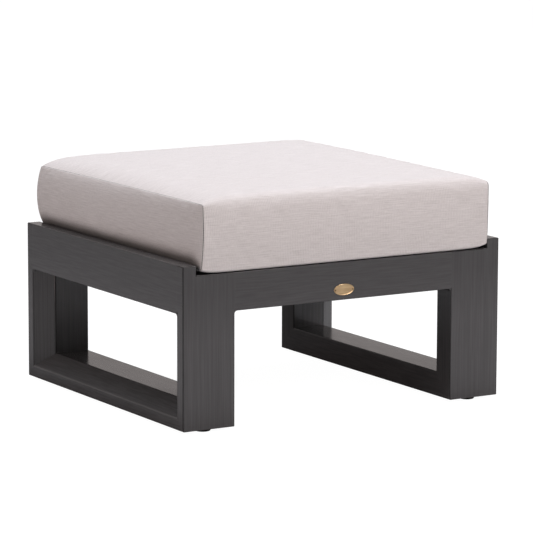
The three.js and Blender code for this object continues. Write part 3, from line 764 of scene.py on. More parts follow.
def makeWelds(kit):
    # Small concave fillets where an upright meets the underside of a bar. Each is a corner and
    # an arc, carried across the bar's thickness.
    turn = np.linspace(0, math.pi / 2, 9)
    u = np.append(-kit["weldSunk"], kit["weldRound"] * (1 - np.cos(turn)))
    v = np.append(kit["weldSunk"], -kit["weldRound"] * (1 - np.sin(turn)))
    parts = []
    for signX, signY in signs.values():
        for kind in ("apron", "rail"):
            rows = []
            for across in (kit["weldInset"], kit["railWidth"] - kit["weldInset"]):
                spot = [kit["loopWidth"] + u, np.full(len(u), across)]
                if kind == "rail":
                    spot = [spot[1], bevelAt(kit, across) + u]
                local = np.stack(spot + [kit["railBottom"] + v], -1)
                rows.append(intoWorld(local, signX, signY))
            ring = np.vstack(rows)
            parts.append((ring, facedOut(ring, prismFaces(len(u)))))
    piece = newPiece("corner_welds", *joined(parts), "frame", coats[2], "frame_coat")
    piece.data.set_sharp_from_angle(angle=math.radians(50))


for side, end in signs:
    makeLeg(bars, side, end)
makeBars(bars)
makeWelds(bars)
print("frame shells made")


# Deck, feet and small fittings.
deck = {
    "nodes": ["stretcher", "left_ledge", "right_ledge"] + ["slat_%d" % k for k in range(1, 8)],
    "join": 0.02,
    "edges": (40, 0.9, 3),
}
for node in deck["nodes"]:
    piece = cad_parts[node]
    piece.data.materials.clear()
    piece.data.materials.append(deckCoats[0 if node.startswith("slat") else 1])
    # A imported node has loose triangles, which are joined before its edges are rounded.
    weld = piece.modifiers.new("joinedFaces", "WELD")
    weld.merge_threshold = deck["join"] * mm
    easeEdges(piece, *deck["edges"])

glideShape = {
    "profile": [(0, 3.6), (5.2, 3.6), (5.3, 0.9), (5.8, 0.25), (7, 0), (12.6, 0), (14.4, 0.5),
                (15.5, 1.7), (16, 3.4), (16, 6.1), (15.6, 6.5), (6, 6.5), (0, 6.5)],
    "sides": 48,
    "screw": (4.5, 2.6, 1.9),
}
screwShape = {"sides": 36, "lobes": 6, "lobeDepth": 0.14, "socket": 0.45,
              "slatScrew": (4.0, 2.2, 1.9)}


# A pan head with a lobed socket, from the socket's floor up to the tip of the shank.
def screwProfile(head, high, shank, long):
    return [(0, 0.45 * high), (0.36 * head, 0.45 * high), (0.42 * head, 0.06 * high),
            (0.5 * head, 0), (0.72 * head, 0.03 * high), (0.9 * head, 0.22 * high),
            (0.98 * head, 0.5 * high), (head, 0.9 * high), (0.97 * head, high),
            (shank, high), (shank, long - shank), (0.35 * shank, long), (0, long)]


def makeScrew(kit, name, head, high, shank):
    low, tip = boxOf(name)
    centre = np.array([(low[0] + tip[0]) / 2, (low[1] + tip[1]) / 2, low[2]])
    piece = turnedPiece(name + "_turned", screwProfile(head, high, shank, tip[2] - low[2]),
                        centre, kit["sides"], "frame", steel, "steel", (name,))
    # radius * (1 + depth * cos(lobes * angle)) inside the socket
    points = pointsOf(piece.data)
    flat = points[:, :2] - centre[:2] * mm
    inside = ((points[:, 2] < (centre[2] + high) * mm)
              & (np.hypot(flat[:, 0], flat[:, 1]) < kit["socket"] * head * mm))
    scale = 1 + np.where(inside, kit["lobeDepth"], 0.0) * np.cos(
        kit["lobes"] * np.arctan2(flat[:, 1], flat[:, 0]))
    points[:, :2] = flat * scale[:, None] + centre[:2] * mm
    setPoints(piece.data, points)


for side, end in signs:
    name = end + "_" + side + "_glide"
    low, high = boxOf(name)
    turnedPiece(name + "_pad", glideShape["profile"],
                ((low[0] + high[0]) / 2, (low[1] + high[1]) / 2, 0), glideShape["sides"],
                "frame", nylon, "glide_nylon", (name,))
    makeScrew(screwShape, name + "_screw", *glideShape["screw"])
for number in range(1, 8):
    for side in ("left", "right"):
        makeScrew(screwShape, "slat_%d_%s_screw" % (number, side), *screwShape["slatScrew"])

plateShape = {
    "rim": 1.7, "floor": 0.55, "dome": 0.16, "sides": 120,
    "inner": ((4.0, 0.35), (6.5, 0.7), (9.0, 0.93)),
    "pinHead": 1.3, "pinSides": 24,
}


def makePlate(kit):
    # Rings of an oval, from the back edge over the rolled rim to the middle, each with its
    # distance from the edge and its rise from the apron.
    low, high = boxOf("name_plate")
    half = (high - low) / 2
    thick, rim, floor, dome = high[1] - low[1], kit["rim"], kit["floor"], kit["dome"]
    steps = [(0.0, 0.0), (0.0, 0.45 * thick), (0.12 * rim, 0.78 * thick), (0.38 * rim, thick),
             (0.68 * rim, 0.93 * thick), (rim, floor + 0.12), (1.25 * rim, floor)]
    steps += [(inset, floor + dome * share) for inset, share in kit["inner"]]
    inwards, rise = (np.array(part)[:, None] for part in zip(*steps))
    angle = np.linspace(0, 2 * math.pi, kit["sides"], endpoint=False)
    rings = np.stack([(half[0] - inwards) * np.cos(angle), np.repeat(-rise, kit["sides"], 1),
                      (half[2] - inwards) * np.sin(angle)], -1).reshape(-1, 3)
    points = np.vstack([rings, [0, 0, 0], [0, -floor - dome, 0]])
    points = points + ((low[0] + high[0]) / 2, high[1], (low[2] + high[2]) / 2)
    faces = facedOut(points, polarFaces(len(steps), kit["sides"]))
    newPiece("bare_oval_plate", points, faces, "frame", gold, "gold_plate", ("name_plate",))


def makePin(kit, name):
    low, high = boxOf(name)
    head, deep = kit["pinHead"], high[1] - low[1]
    piece = turnedPiece(
        name + "_domed",
        [(0, 0), (0.5 * head, 0.05), (0.85 * head, 0.22), (head, 0.5), (0.55 * head, 0.52),
         (0.55 * head, deep), (0, deep)], (0, 0, 0), kit["pinSides"], "frame", agedGold,
        "gold_plate", (name,))
    # The turned pin points along Z, so y and z change places.
    spot = np.array([(low[0] + high[0]) / 2, low[1], (low[2] + high[2]) / 2])
    setPoints(piece.data, pointsOf(piece.data)[:, [0, 2, 1]] + spot * mm)
    piece.data.flip_normals()


makePlate(plateShape)
for side in ("left", "right"):
    makePin(plateShape, side + "_plate_pin")
print("deck, feet and plate made")


# Cushion.
# The section is a rounded rectangle of half depth `deep` and half height `tall`, carried from
# the left seam (t = -1) to the right (t = 1). Its corner is the frame's outer front corner.
cushion = {
    "deep": 312.0, "tall": 67.5, "seat": 298.3, "halfWide": 325.0,
    "leftBase": 37.2, "leftTop": (45.52, 30.71), "leftWaist": (-0.51, 13.32), "leftBow": -4.13,
    "rightBase": 688.07, "rightTop": (695.76, 682.49), "rightWaist": -2.85, "rightBow": -5.84,
    "front": (-4.23, 3.52), "frontWaist": 4.64, "frontBow": 0.46,
    "rear": (637.08, 639.49), "rearWaist": 2.49,
    "rise": (-1.32, 0.43, 0.78),
    "crown": 20.15, "crownTilt": 3.89, "crownPower": 12.2, "crownEdge": 0.77,
    "sideSwell": (7.03, 7.37),
    "sideRoll": (5.5, 9.0, 0.6), "rollStart": 20.0, "rollEnd": 30.0, "rollSwell": 0.7,
    "topRound": 21.23, "topRoundAtSeam": (5.15, 12.0), "topRoundPower": 12, "baseRound": 5.0,
    "baseEdgeLift": (2.4, 18.0), "baseEndLift": (7.0, 14.0),
    "columns": 128, "acrossTop": 118, "upFront": 32, "seamCrowding": 0.93, "edgeCrowding": 0.76,
    "zipHalf": (255.0, 3.5), "zipHeight": 365.8, "zipSpan": 326.0, "zipBlend": (24.0, 6),
    "curlTop": 345.0, "curlReach": 28.0, "curlDepth": 8.0, "curlStart": 40.0,
    "railGap": 0.4, "railFade": 4.0,
    "seamDepth": (0.7, 0.0), "seamReach": 2.2, "seamFoldShade": (0.6, 0.0), "seamLine": 0.7,
    "seamPull": (0.8, 0.6),
    "puckerHeight": 0.7, "puckerReach": 17.0, "puckerPitch": 15.0, "puckerStart": 5.0,
    "puckerSwell": (0.8, 61.0), "puckerShares": (0.62, 1.0, 1.73), "sidePucker": 0.7,
    "wall": 1.3, "fill": 0.85,
}
quarter = math.pi / 4


# Along and inward distances of a side that starts and ends half way round its corners.
def sideOfRing(first, second, length, travel):
    total = (first + second) * quarter + length - first - second
    begun = quarter + np.minimum(travel / first, quarter)
    left = quarter + np.minimum((total - travel) / second, quarter)
    along = np.where(
        travel < total / 2,
        first * (1 - np.cos(begun)) + np.maximum(0, travel - first * quarter),
        length - second * (1 - np.cos(left)) - np.maximum(0, total - travel - second * quarter))
    inward = np.where(travel < total / 2, first * (1 - np.sin(begun)),
                      second * (1 - np.sin(left)))
    return along, inward


# Steps from 0 to 1 that are short at both ends: s - k sin(2 pi s) / (2 pi).
def crowded(kit, count):
    s = np.linspace(0, 1, count + 1)
    return s - kit["edgeCrowding"] * np.sin(2 * math.pi * s) / (2 * math.pi)


# How many steps each side of a ring has: base, front, top and rear.
def sideCounts(counts):
    return [counts[0], counts[1], counts[0], counts[1]]


# Flat (y, z) of every ring: base, front, top and rear, with two exact zip lines behind.
def ringSections(kit, t, counts):
    deep, tall = kit["deep"], kit["tall"]
    seam = np.where(t < 0, *kit["topRoundAtSeam"])
    top = kit["topRound"] + (seam - kit["topRound"]) * np.abs(t) ** kit["topRoundPower"]
    base = np.full_like(top, kit["baseRound"])
    sides = []
    for place, first, second, length, count in (
            ("base", base, base, 2 * deep, counts[0]), ("front", base, top, 2 * tall, counts[1]),
            ("top", top, top, 2 * deep, counts[0]), ("rear", top, base, 2 * tall, counts[1])):
        total = (first + second) * quarter + length - first - second
        steps = crowded(kit, count)
        if place == "rear":
            gap = kit["zipHalf"][1]
            upper = tall - gap - first + first * quarter
            half = count // 2
            before = upper[:, None] * steps[:half] / steps[half - 1]
            after = (steps[half:-1] - steps[half]) / (1 - steps[half])
            start = upper[:, None] + 2 * gap
            travel = np.concatenate([before, start + (total[:, None] - start) * after], 1)
        else:
            travel = total[:, None] * steps[:-1]
        along, inward = sideOfRing(first[:, None], second[:, None], length, travel)
        sides.append({"base": (deep - along, inward - tall), "front": (inward - deep, along - tall),
                      "top": (along - deep, tall - inward),
                      "rear": (deep - inward, tall - along)}[place])
    return [np.concatenate(part, 1) for part in zip(*sides)]


# Bends flat section points into the cushion's real outline. Each side runs straight from base
# to top and from front to rear, less a waist (1 - up^2) and plus a bow (1 - a^2), and the top
# rises by a crown (1 - |t|^power), which falls off from the middle to the front and rear.
def placed(kit, t, y, z):
    a = y / kit["deep"]
    up = z / kit["tall"]
    w = (1 + up) / 2
    waist, bow = 1 - up ** 2, (1 - a ** 2) * w
    lb, (lf, lr), (lm, lmr) = kit["leftBase"], kit["leftTop"], kit["leftWaist"]
    rb, (rf, rr) = kit["rightBase"], kit["rightTop"]
    left = (lb + w * ((lf - lb) * (1 - a) / 2 + (lr - lb) * (1 + a) / 2)
            - (lm * (1 - a) / 2 + lmr * (1 + a) / 2) * waist - kit["leftBow"] * bow)
    right = (rb + w * ((rf - rb) * (1 - a) / 2 + (rr - rb) * (1 + a) / 2)
             + kit["rightWaist"] * waist + kit["rightBow"] * bow)
    x = (left + right) / 2 + t * (right - left) / 2
    fb, ft = kit["front"]
    bb, bt = kit["rear"]
    front = (fb + w * (ft - fb) - kit["frontWaist"] * waist
             - kit["frontBow"] * (1 - t ** 2) * w)
    rear = bb + w * (bt - bb) + kit["rearWaist"] * waist
    edge = kit["crownEdge"]
    crown = ((kit["crown"] + kit["crownTilt"] * a) * (1 - np.abs(t) ** kit["crownPower"])
             * (edge + (1 - edge) * (1 - a ** 2)))
    rise = kit["rise"]
    height = (kit["seat"] + kit["tall"] + z + crown * np.maximum(0, up) ** 2
              + w * (rise[0] + rise[1] * t + rise[2] * a))
    return np.stack([x, (front + rear) / 2 + a * (rear - front) / 2, height], -1)


# A closed ring's base, front, top and rear, which all run rearwards or upwards.
def ringSides(closed, counts):
    across, upright = counts
    return (closed[:across + 1][::-1], closed[across:across + upright + 1],
            closed[across + upright:2 * across + upright + 1],
            closed[2 * across + upright:][::-1])


# A patch inside one end ring, which blends the ring's four sides (a Coons patch) and then
# swells outwards.
def sidePatch(kit, ring, counts, sign):
    base, front, top, rear = ringSides(np.vstack([ring, ring[:1]]), counts)
    p = crowded(kit, counts[0])[:, None, None]
    q = crowded(kit, counts[1])[None, :, None]
    patch = ((1 - q) * base[:, None] + q * top[:, None] + (1 - p) * front[None]
             + p * rear[None]
             - (1 - p) * (1 - q) * front[0] - p * (1 - q) * rear[0]
             - (1 - p) * q * front[-1] - p * q * rear[-1])
    p, q = p[..., 0], q[..., 0]
    # The panel rolls out from under the top seam, most of all towards the front, and comes back
    # behind the rail.
    out, near, rearShare = kit["sideRoll"]
    forward = 1 - (1 - rearShare) * p
    fromTop = (1 - q) * 2 * kit["tall"]
    fromEnd = np.minimum(p, 1 - p) * 2 * kit["deep"]
    roll = (out * forward * (1 - np.exp(-fromTop / near))
            * (1 - np.exp(-fromEnd / kit["rollStart"])))
    roll = roll * np.clip((2 * kit["tall"] - fromTop) / kit["rollEnd"], 0, 1)
    bulge = (1 - (2 * p - 1) ** 2) * (1 - (2 * q - 1) ** 2)
    swell = kit["sideSwell"][0 if sign < 0 else 1] * (1 - kit["rollSwell"] * forward)
    patch[..., 0] += sign * (swell * bulge + roll)
    # Near the rail the panel curls under.
    low = np.clip((kit["curlTop"] - patch[..., 2]) / kit["curlReach"], 0, 1) ** 2
    patch[..., 0] -= sign * kit["curlDepth"] * low * np.minimum(1, fromEnd / kit["curlStart"])
    return patch


# The wrap (columns, ring points, 3) and the two side patches, in the corner's frame. The base
# lifts towards its ends and edges by exp(-distance / reach).
def cushionForm(kit, t, counts):
    y, z = ringSections(kit, t, counts)
    wrap = placed(kit, t[:, None], y, z)
    low = np.clip(-z / kit["tall"], 0, 1) ** 3
    (end, endReach), (edge, edgeReach) = kit["baseEndLift"], kit["baseEdgeLift"]
    lift = (end * np.exp(-(1 - np.abs(t[:, None])) * kit["halfWide"] / endReach)
            + edge * np.exp(-(kit["deep"] - np.abs(y)) / edgeReach))
    wrap[..., 2] += lift * low
    return wrap, sidePatch(kit, wrap[0], counts, -1), sidePatch(kit, wrap[-1], counts, 1)


# Cross products of the differences along the columns and round the ring.
def outwardNormals(wrap):
    # The ring is closed, so its differences run on past its first and last points.
    around = np.roll(wrap, -1, 1) - np.roll(wrap, 1, 1)
    normal = np.cross(np.gradient(wrap, axis=0), around)
    normal = normal / np.maximum(np.linalg.norm(normal, axis=-1, keepdims=True), 1e-9)
    outward = np.sum(normal * (wrap - wrap.reshape(-1, 3).mean(0)))
    return normal if outward > 0 else -normal


def columnsFor(kit):
    # Columns crowd towards the seams, and two of them stand at the ends of the zip.
    steps = np.linspace(-1, 1, kit["columns"] + 1)
    t = steps * (1 - kit["seamCrowding"]) + np.sin(steps * math.pi / 2) * kit["seamCrowding"]
    ends = [int(np.argmin(np.abs(t - sign * kit["zipHalf"][0] / kit["zipSpan"])))
            for sign in (-1, 1)]
    return t, ends


def seamRipple(kit, distance, seed):
    # Waves of unlike length, each with its own phase, swelling and fading along the seam.
    chance = np.random.default_rng(seed)
    most, long = kit["puckerSwell"]
    wave = np.zeros_like(distance)
    for share in kit["puckerShares"]:
        phase, drift = chance.uniform(0, 2 * math.pi, 2)
        size = 1 + most * np.sin(distance / (long * share) + drift)
        wave += size * np.sin(2 * math.pi * distance / (kit["puckerPitch"] * share) + phase)
    return wave / len(kit["puckerShares"])


def clearOfRails(kit, points, inset=0.0):
    # Below the rails' tops the cloth stays between them.
    wide = bars["size"][0]
    rail = bars["railWidth"] + kit["railGap"] + inset
    fade = kit["railFade"]
    low = np.clip((bars["railTop"] + fade - points[..., 2]) / fade, 0, 1)
    held = np.clip(points[..., 0], rail, wide - rail)
    points[..., 0] += (held - points[..., 0]) * low
    return points


def cushionGrids(kit):
    t, zipColumns = columnsFor(kit)
    counts = (kit["acrossTop"], kit["upFront"])
    wrap, left, right = cushionForm(kit, t, counts)
    upperRow = 2 * counts[0] + counts[1] + counts[1] // 2 - 1
    # The slot's two rows and two columns are brought exactly to the zip's place.
    rear = slice(2 * counts[0] + counts[1] + 1, None)
    height = wrap[:, rear, 2]
    reachUp, reachAcross = kit["zipBlend"]
    near = np.clip(1 - np.abs(height - kit["zipHeight"]) / reachUp, 0, 1)
    for row, sign in ((upperRow, 1), (upperRow + 1, -1)):
        fault = kit["zipHeight"] + sign * kit["zipHalf"][1] - wrap[:, row, 2]
        onSide = (height - kit["zipHeight"]) * sign > 0
        wrap[:, rear, 2] += np.where(onSide, near * fault[:, None], 0)
    for column, sign in zip(zipColumns, (-1, 1)):
        target = bars["size"][0] / 2 + sign * kit["zipHalf"][0]
        reach = np.clip(1 - np.abs(np.arange(len(t)) - column) / reachAcross, 0, 1)[:, None]
        fault = target - wrap[column, rear, 0]
        wrap[:, rear, 0] += reach * near * fault[None, :]
    return t, wrap, left, right, zipColumns, upperRow, counts


# exp(-distance / reach), and nought at the seam itself.
def puckerFade(kit, distance):
    return (np.exp(-distance / kit["puckerReach"])
            * (1 - np.exp(-(distance / kit["puckerStart"]) ** 2)))


def dressed(kit, t, wrap, left, right, counts):
    # The seam is a groove of depth exp(-(distance / reach)^2), deeper on the upright edges, and
    # puckers run out from it.
    down, inside = kit["seamPull"]
    fromSide = (1 - np.abs(t)) * kit["halfWide"]
    middle = wrap[len(t) // 2]
    roundwards = np.cumsum(np.linalg.norm(np.diff(middle, axis=0, prepend=middle[-1:]), axis=1))
    ripple = np.stack([seamRipple(kit, roundwards, 11), seamRipple(kit, roundwards, 12)])
    pucker = (np.where(t[:, None] < 0, ripple[0], ripple[1])
              * puckerFade(kit, fromSide)[:, None] * kit["puckerHeight"])
    deepest = np.repeat(np.array(kit["seamDepth"])[[1, 0, 1, 0]], sideCounts(counts))
    groove = np.exp(-(fromSide / kit["seamReach"]) ** 2)[:, None] * deepest
    wrap = wrap + outwardNormals(wrap) * (pucker - down * groove)[..., None]
    wrap[..., 0] -= inside * np.sign(t)[:, None] * groove
    p, q = crowded(kit, counts[0])[:, None], crowded(kit, counts[1])[None]
    edges = np.stack(np.broadcast_arrays(2 * kit["deep"] * p, 2 * kit["deep"] * (1 - p),
                                         2 * kit["tall"] * q, 2 * kit["tall"] * (1 - q)))
    sunk = np.exp(-(edges / kit["seamReach"]) ** 2)
    sunk *= np.array(kit["seamDepth"])[[0, 0, 1, 1]][:, None, None]
    fade = puckerFade(kit, edges.min(0)) * kit["sidePucker"] * kit["puckerHeight"]
    for patch, sign in ((left, -1), (right, 1)):
        wave = seamRipple(kit, 2 * kit["deep"] * p, 21 + sign)
        patch[..., 0] += sign * (wave * fade - inside * sunk.max(0))
        patch[..., 1] += down * (sunk[0] - sunk[1])
        patch[..., 2] += down * (sunk[2] - sunk[3])
    return wrap, left, right


def closedCushion(wrap, left, right, counts):
    # One list of points and faces for the wrap and its two patches, which share the end rings.
    ids = numbered(*wrap.shape[:2])
    points = [wrap.reshape(-1, 3)]
    faces = [gridFaces(ids)]
    total = len(points[0])
    for patch, ring, step in ((left, ids[0], 1), (right, ids[-1], -1)):
        table = np.zeros((counts[0] + 1, counts[1] + 1), int)
        inner = table[1:-1, 1:-1]
        inner[:] = total + np.arange(inner.size).reshape(inner.shape)
        table[:, 0], table[0], table[:, -1], table[-1] = ringSides(ring, counts)
        total += inner.size
        points.append(patch[1:-1, 1:-1].reshape(-1, 3))
        faces.append(gridFaces(table)[:, ::step])
    return np.vstack(points), faces


# 1 where closed quads look outwards and -1 where they look inwards, as a step for slicing.
# Six times the volume is the sum over faces of corner . (edge x edge).
def outwardStep(points, quads):
    a, b, c, d = (points[quads[:, k]] for k in range(4))
    return 1 if np.sum(a * np.cross(b, c)) + np.sum(a * np.cross(c, d)) >= 0 else -1


# A soft piece of the cushion, moved from the frame's corner to the scene's middle.
def paddedPiece(name, points, faces, finish, slot, node, uv=None):
    wide, deep = bars["size"]
    points = points + np.array([-wide / 2, -deep / 2, bars["lift"]])
    piece = newPiece(name, points, faces.tolist(), "cushion", finish, slot, (node,), uv)
    return piece


settling = {
    "columns": 72, "acrossTop": 66, "upFront": 18,
    "inset": 1.5, "pressure": 4.0, "frames": 20, "quality": 6, "mass": 0.3,
    "stiffness": 20.0, "bending": 0.15, "spareCloth": 0.006,
    "baseHold": 9.0, "zipHold": 17.0, "rearHold": 12.0,
    "share": 0.5, "mostMove": (-1.2, 2.0), "broadSteps": 12, "fadeSteps": 3, "fadePower": 3,
}


# Repeated averages over neighbours along one direction of a grid.
def softened(grid, steps, axis, looped=False):
    for number in range(steps):
        before, after = np.roll(grid, 1, axis), np.roll(grid, -1, axis)
        if not looped:
            first = (slice(None),) * axis + (0,)
            last = (slice(None),) * axis + (-1,)
            before[first], after[last] = grid[first], grid[last]
        grid = (before + 2 * grid + after) / 4
    return grid


def ringPlaces(kit, counts):
    # How far round the ring each point lies, counted in sides: base, front, top, rear.
    y, z = ringSections(kit, np.zeros(1), counts)
    ring = np.stack([y[0], z[0]], -1)
    steps = np.linalg.norm(np.diff(np.vstack([ring, ring[:1]]), axis=0), axis=1)
    places, start = [], 0
    for side, count in enumerate(sideCounts(counts)):
        part = steps[start:start + count]
        places.append(side + np.concatenate([[0], np.cumsum(part)[:-1]]) / part.sum())
        start += count
    return np.concatenate(places)


def smoothWeights(fine, coarse, looped=0.0):
    # Weights of a Catmull-Rom curve from values at coarse places to fine places. A looped
    # range runs on past its end.
    count = len(coarse)
    known = np.concatenate([coarse, [coarse[0] + looped]]) if looped else coarse
    at = np.interp(fine, known, np.arange(len(known)))
    low = np.minimum(np.floor(at).astype(int), len(known) - 2)
    f = at - low
    shares = [-0.5 * f + f ** 2 - 0.5 * f ** 3, 1 - 2.5 * f ** 2 + 1.5 * f ** 3,
              0.5 * f + 2 * f ** 2 - 1.5 * f ** 3, -0.5 * f ** 2 + 0.5 * f ** 3]
    weights = np.zeros((len(fine), count))
    for step, share in enumerate(shares):
        column = low + step - 1
        column = column % count if looped else np.clip(column, 0, count - 1)
        np.add.at(weights, (np.arange(len(fine)), column), share)
    return weights


# Runs the cloth simulation on a mesh and gives where its points end. Seams, the base and the
# cloth beside the zip are held.
def blownUp(kit, mesh, held):
    piece = newObject("settling", mesh)
    group = piece.vertex_groups.new(name="held")
    for level in np.unique(np.round(held, 1)):
        if level > 0:
            group.add(np.flatnonzero(np.round(held, 1) == level).tolist(), float(level), "REPLACE")
    cloth = piece.modifiers.new("settling", "CLOTH")
    made = cloth.settings
    made.quality = kit["quality"]
    made.mass = kit["mass"]
    made.tension_stiffness = kit["stiffness"]
    made.compression_stiffness = kit["stiffness"]
    made.shear_stiffness = kit["stiffness"] / 2
    made.bending_stiffness = kit["bending"]
    made.vertex_group_mass = "held"
    made.use_pressure = True
    made.uniform_pressure_force = kit["pressure"]
    made.shrink_min = -kit["spareCloth"]
    made.effector_weights.gravity = 0
    cloth.collision_settings.use_collision = False
    cloth.collision_settings.use_self_collision = False
    cloth.point_cache.frame_start = 1
    cloth.point_cache.frame_end = kit["frames"]
    for number in range(1, kit["frames"] + 1):
        bpy.context.scene.frame_set(number)
    done = piece.evaluated_get(bpy.context.evaluated_depsgraph_get()).to_mesh()
    moved = pointsOf(done) / mm
    bpy.data.objects.remove(piece)
    bpy.context.scene.frame_set(1)
    return moved


def settledCloth(kit, outer):
    # The cover's coarse form, drawn in a little and blown up by cloth simulation. It gives how
    # far each coarse point ends from the measured form.
    t = columnsFor({**outer, "columns": kit["columns"]})[0]
    counts = (kit["acrossTop"], kit["upFront"])
    wrap, left, right = cushionForm(outer, t, counts)
    points, parts = closedCushion(wrap, left, right, counts)
    faces = np.vstack(parts)
    mesh = bpy.data.meshes.new("settling")
    mesh.from_pydata(points * mm, [], faces[:, ::outwardStep(points, faces)].tolist())
    normals = pointsOf(mesh, "normal")
    ringCount = wrap.shape[1]
    wrapCount = len(t) * ringCount
    held = np.zeros(len(points))
    held[:ringCount] = held[wrapCount - ringCount:wrapCount] = 1
    held = np.maximum(held, points[:, 2] < outer["seat"] + kit["baseHold"])
    nearZip = np.clip(2 - np.abs(points[:, 2] - outer["zipHeight"]) / kit["zipHold"], 0, 1)
    held = np.maximum(held, (points[:, 1] > bars["size"][1] - kit["rearHold"]) * nearZip)
    setPoints(mesh, (points - normals * (kit["inset"] * (1 - held))[:, None]) * mm)
    moved = blownUp(kit, mesh, held)
    # The measured form stands for the broad shape, so only the creases are kept, within limits
    # that the filling sets.
    outwards = np.sum((moved - points) * normals, 1) * (1 - held)
    grids = [outwards[:wrapCount].reshape(len(t), ringCount)]
    inside = (counts[0] - 1) * (counts[1] - 1)
    for first in (wrapCount, wrapCount + inside):
        grid = np.zeros((counts[0] + 1, counts[1] + 1))
        grid[1:-1, 1:-1] = outwards[first:first + inside].reshape(counts[0] - 1, counts[1] - 1)
        grids.append(grid)
    creases = []
    for grid, along in zip(grids, (1, 0, 0)):
        fine = grid - softened(grid, kit["broadSteps"], along, along == 1)
        # Creases fade out where the cloth is held.
        free = softened((grid != 0) * 1.0, kit["fadeSteps"], 0)
        free = softened(free, kit["fadeSteps"], 1, along == 1) ** kit["fadePower"]
        fine *= kit["share"] * free * (grid != 0)
        creases.append(np.clip(fine, *kit["mostMove"]))
    return t, ringPlaces(outer, counts), counts, creases


# Adds the creases along the normals, carried from the coarse grid to the fine one.
def addSettling(kit, outer, t, wrap, left, right, counts):
    coarseT, coarseRing, coarseCounts, creases = settledCloth(kit, outer)
    overColumns = smoothWeights(t, coarseT)
    overRing = smoothWeights(ringPlaces(outer, counts), coarseRing, 4.0)
    wrap = wrap + outwardNormals(wrap) * (overColumns @ creases[0] @ overRing.T)[..., None]
    overP, overQ = (smoothWeights(crowded(outer, fine), crowded(outer, coarse))
                    for fine, coarse in zip(counts, coarseCounts))
    for patch, sign, crease in ((left, -1, creases[1]), (right, 1, creases[2])):
        patch[..., 0] += sign * (overP @ crease @ overQ.T)
    print("cloth settled: creases from %.1f to %.1f mm, spread %.2f mm" % (
        creases[0].min(), creases[0].max(), creases[0].std()))
    return wrap, left, right


# The cloth map is in metres: on the wrap it is x and the way round, and on a patch y and z.
def clothMap(wrap, points, faces, wrapFaces):
    ringCount = wrap.shape[1]
    middle = wrap[wrap.shape[0] // 2]
    around = np.linalg.norm(np.diff(middle, axis=0), axis=1)
    around = np.concatenate([[0], np.cumsum(around)])
    total = around[-1] + np.linalg.norm(middle[0] - middle[-1])
    corner = faces.ravel()
    isWrap = np.repeat(np.arange(len(faces)) < wrapFaces, 4)
    ringAt = corner % ringCount
    way = around[np.where(isWrap, ringAt, 0)]
    # A face that closes the ring ends at its full length.
    faceRings = ringAt.reshape(-1, 4)
    closing = np.repeat((faceRings.max(1) == ringCount - 1) & (faceRings.min(1) == 0), 4)
    way = np.where(closing & (ringAt == 0), total, way)
    patchStart = 900
    return np.stack([np.where(isWrap, points[corner, 0], points[corner, 1]),
                     np.where(isWrap, way, points[corner, 2] + patchStart)], -1) * mm


def makeCover(kit):
    t, wrap, left, right, zipColumns, upperRow, counts = cushionGrids(kit)
    wrap, left, right = addSettling(settling, kit, t, wrap, left, right, counts)
    wrap, left, right = dressed(kit, t, wrap, left, right, counts)
    points, faces = closedCushion(wrap, left, right, counts)
    points = clearOfRails(kit, points)
    # The cloth is cut through between the zip's rows and columns.
    column, row = np.divmod(faces[0][:, 0], wrap.shape[1])
    slot = (row == upperRow) & (column >= zipColumns[0]) & (column < zipColumns[1])
    cut = np.vstack([faces[0][~slot], faces[1], faces[2]])
    cut = cut[:, ::outwardStep(points, np.vstack(faces))]
    piece = paddedPiece("cushion_cloth_cover", points, cut, coverCloth, "cover_cloth",
                        "cushion_cover",
                        clothMap(wrap, points, cut, int((~slot).sum())))
    # The seam attribute carries the painted fold shade of the upright seams.
    fromSide = (1 - np.abs(t)) * kit["halfWide"]
    dark = np.repeat(np.array(kit["seamFoldShade"])[[1, 0, 1, 0]], sideCounts(counts))
    seam = np.zeros(len(points), np.float32)
    seam[:len(t) * wrap.shape[1]] = (
        np.exp(-(fromSide / kit["seamLine"]) ** 2)[:, None] * dark).ravel()
    addLayer(piece.data, "seam", "FLOAT", "POINT", seam)
    solid = piece.modifiers.new("clothThickness", "SOLIDIFY")
    solid.thickness = kit["wall"] * mm
    solid.offset = -1
    solid.use_even_offset = False


makeCover(cushion)

filling = {
    "columns": 44, "acrossTop": 46, "upFront": 12, "baseRound": 24.0,
    "wadding": (3.7, 10.0, 0.955), "waddingGap": 1.0, "waddingFill": 0.5,
    "core": 11.5, "coreShare": 0.965, "coreFill": 1.0,
}


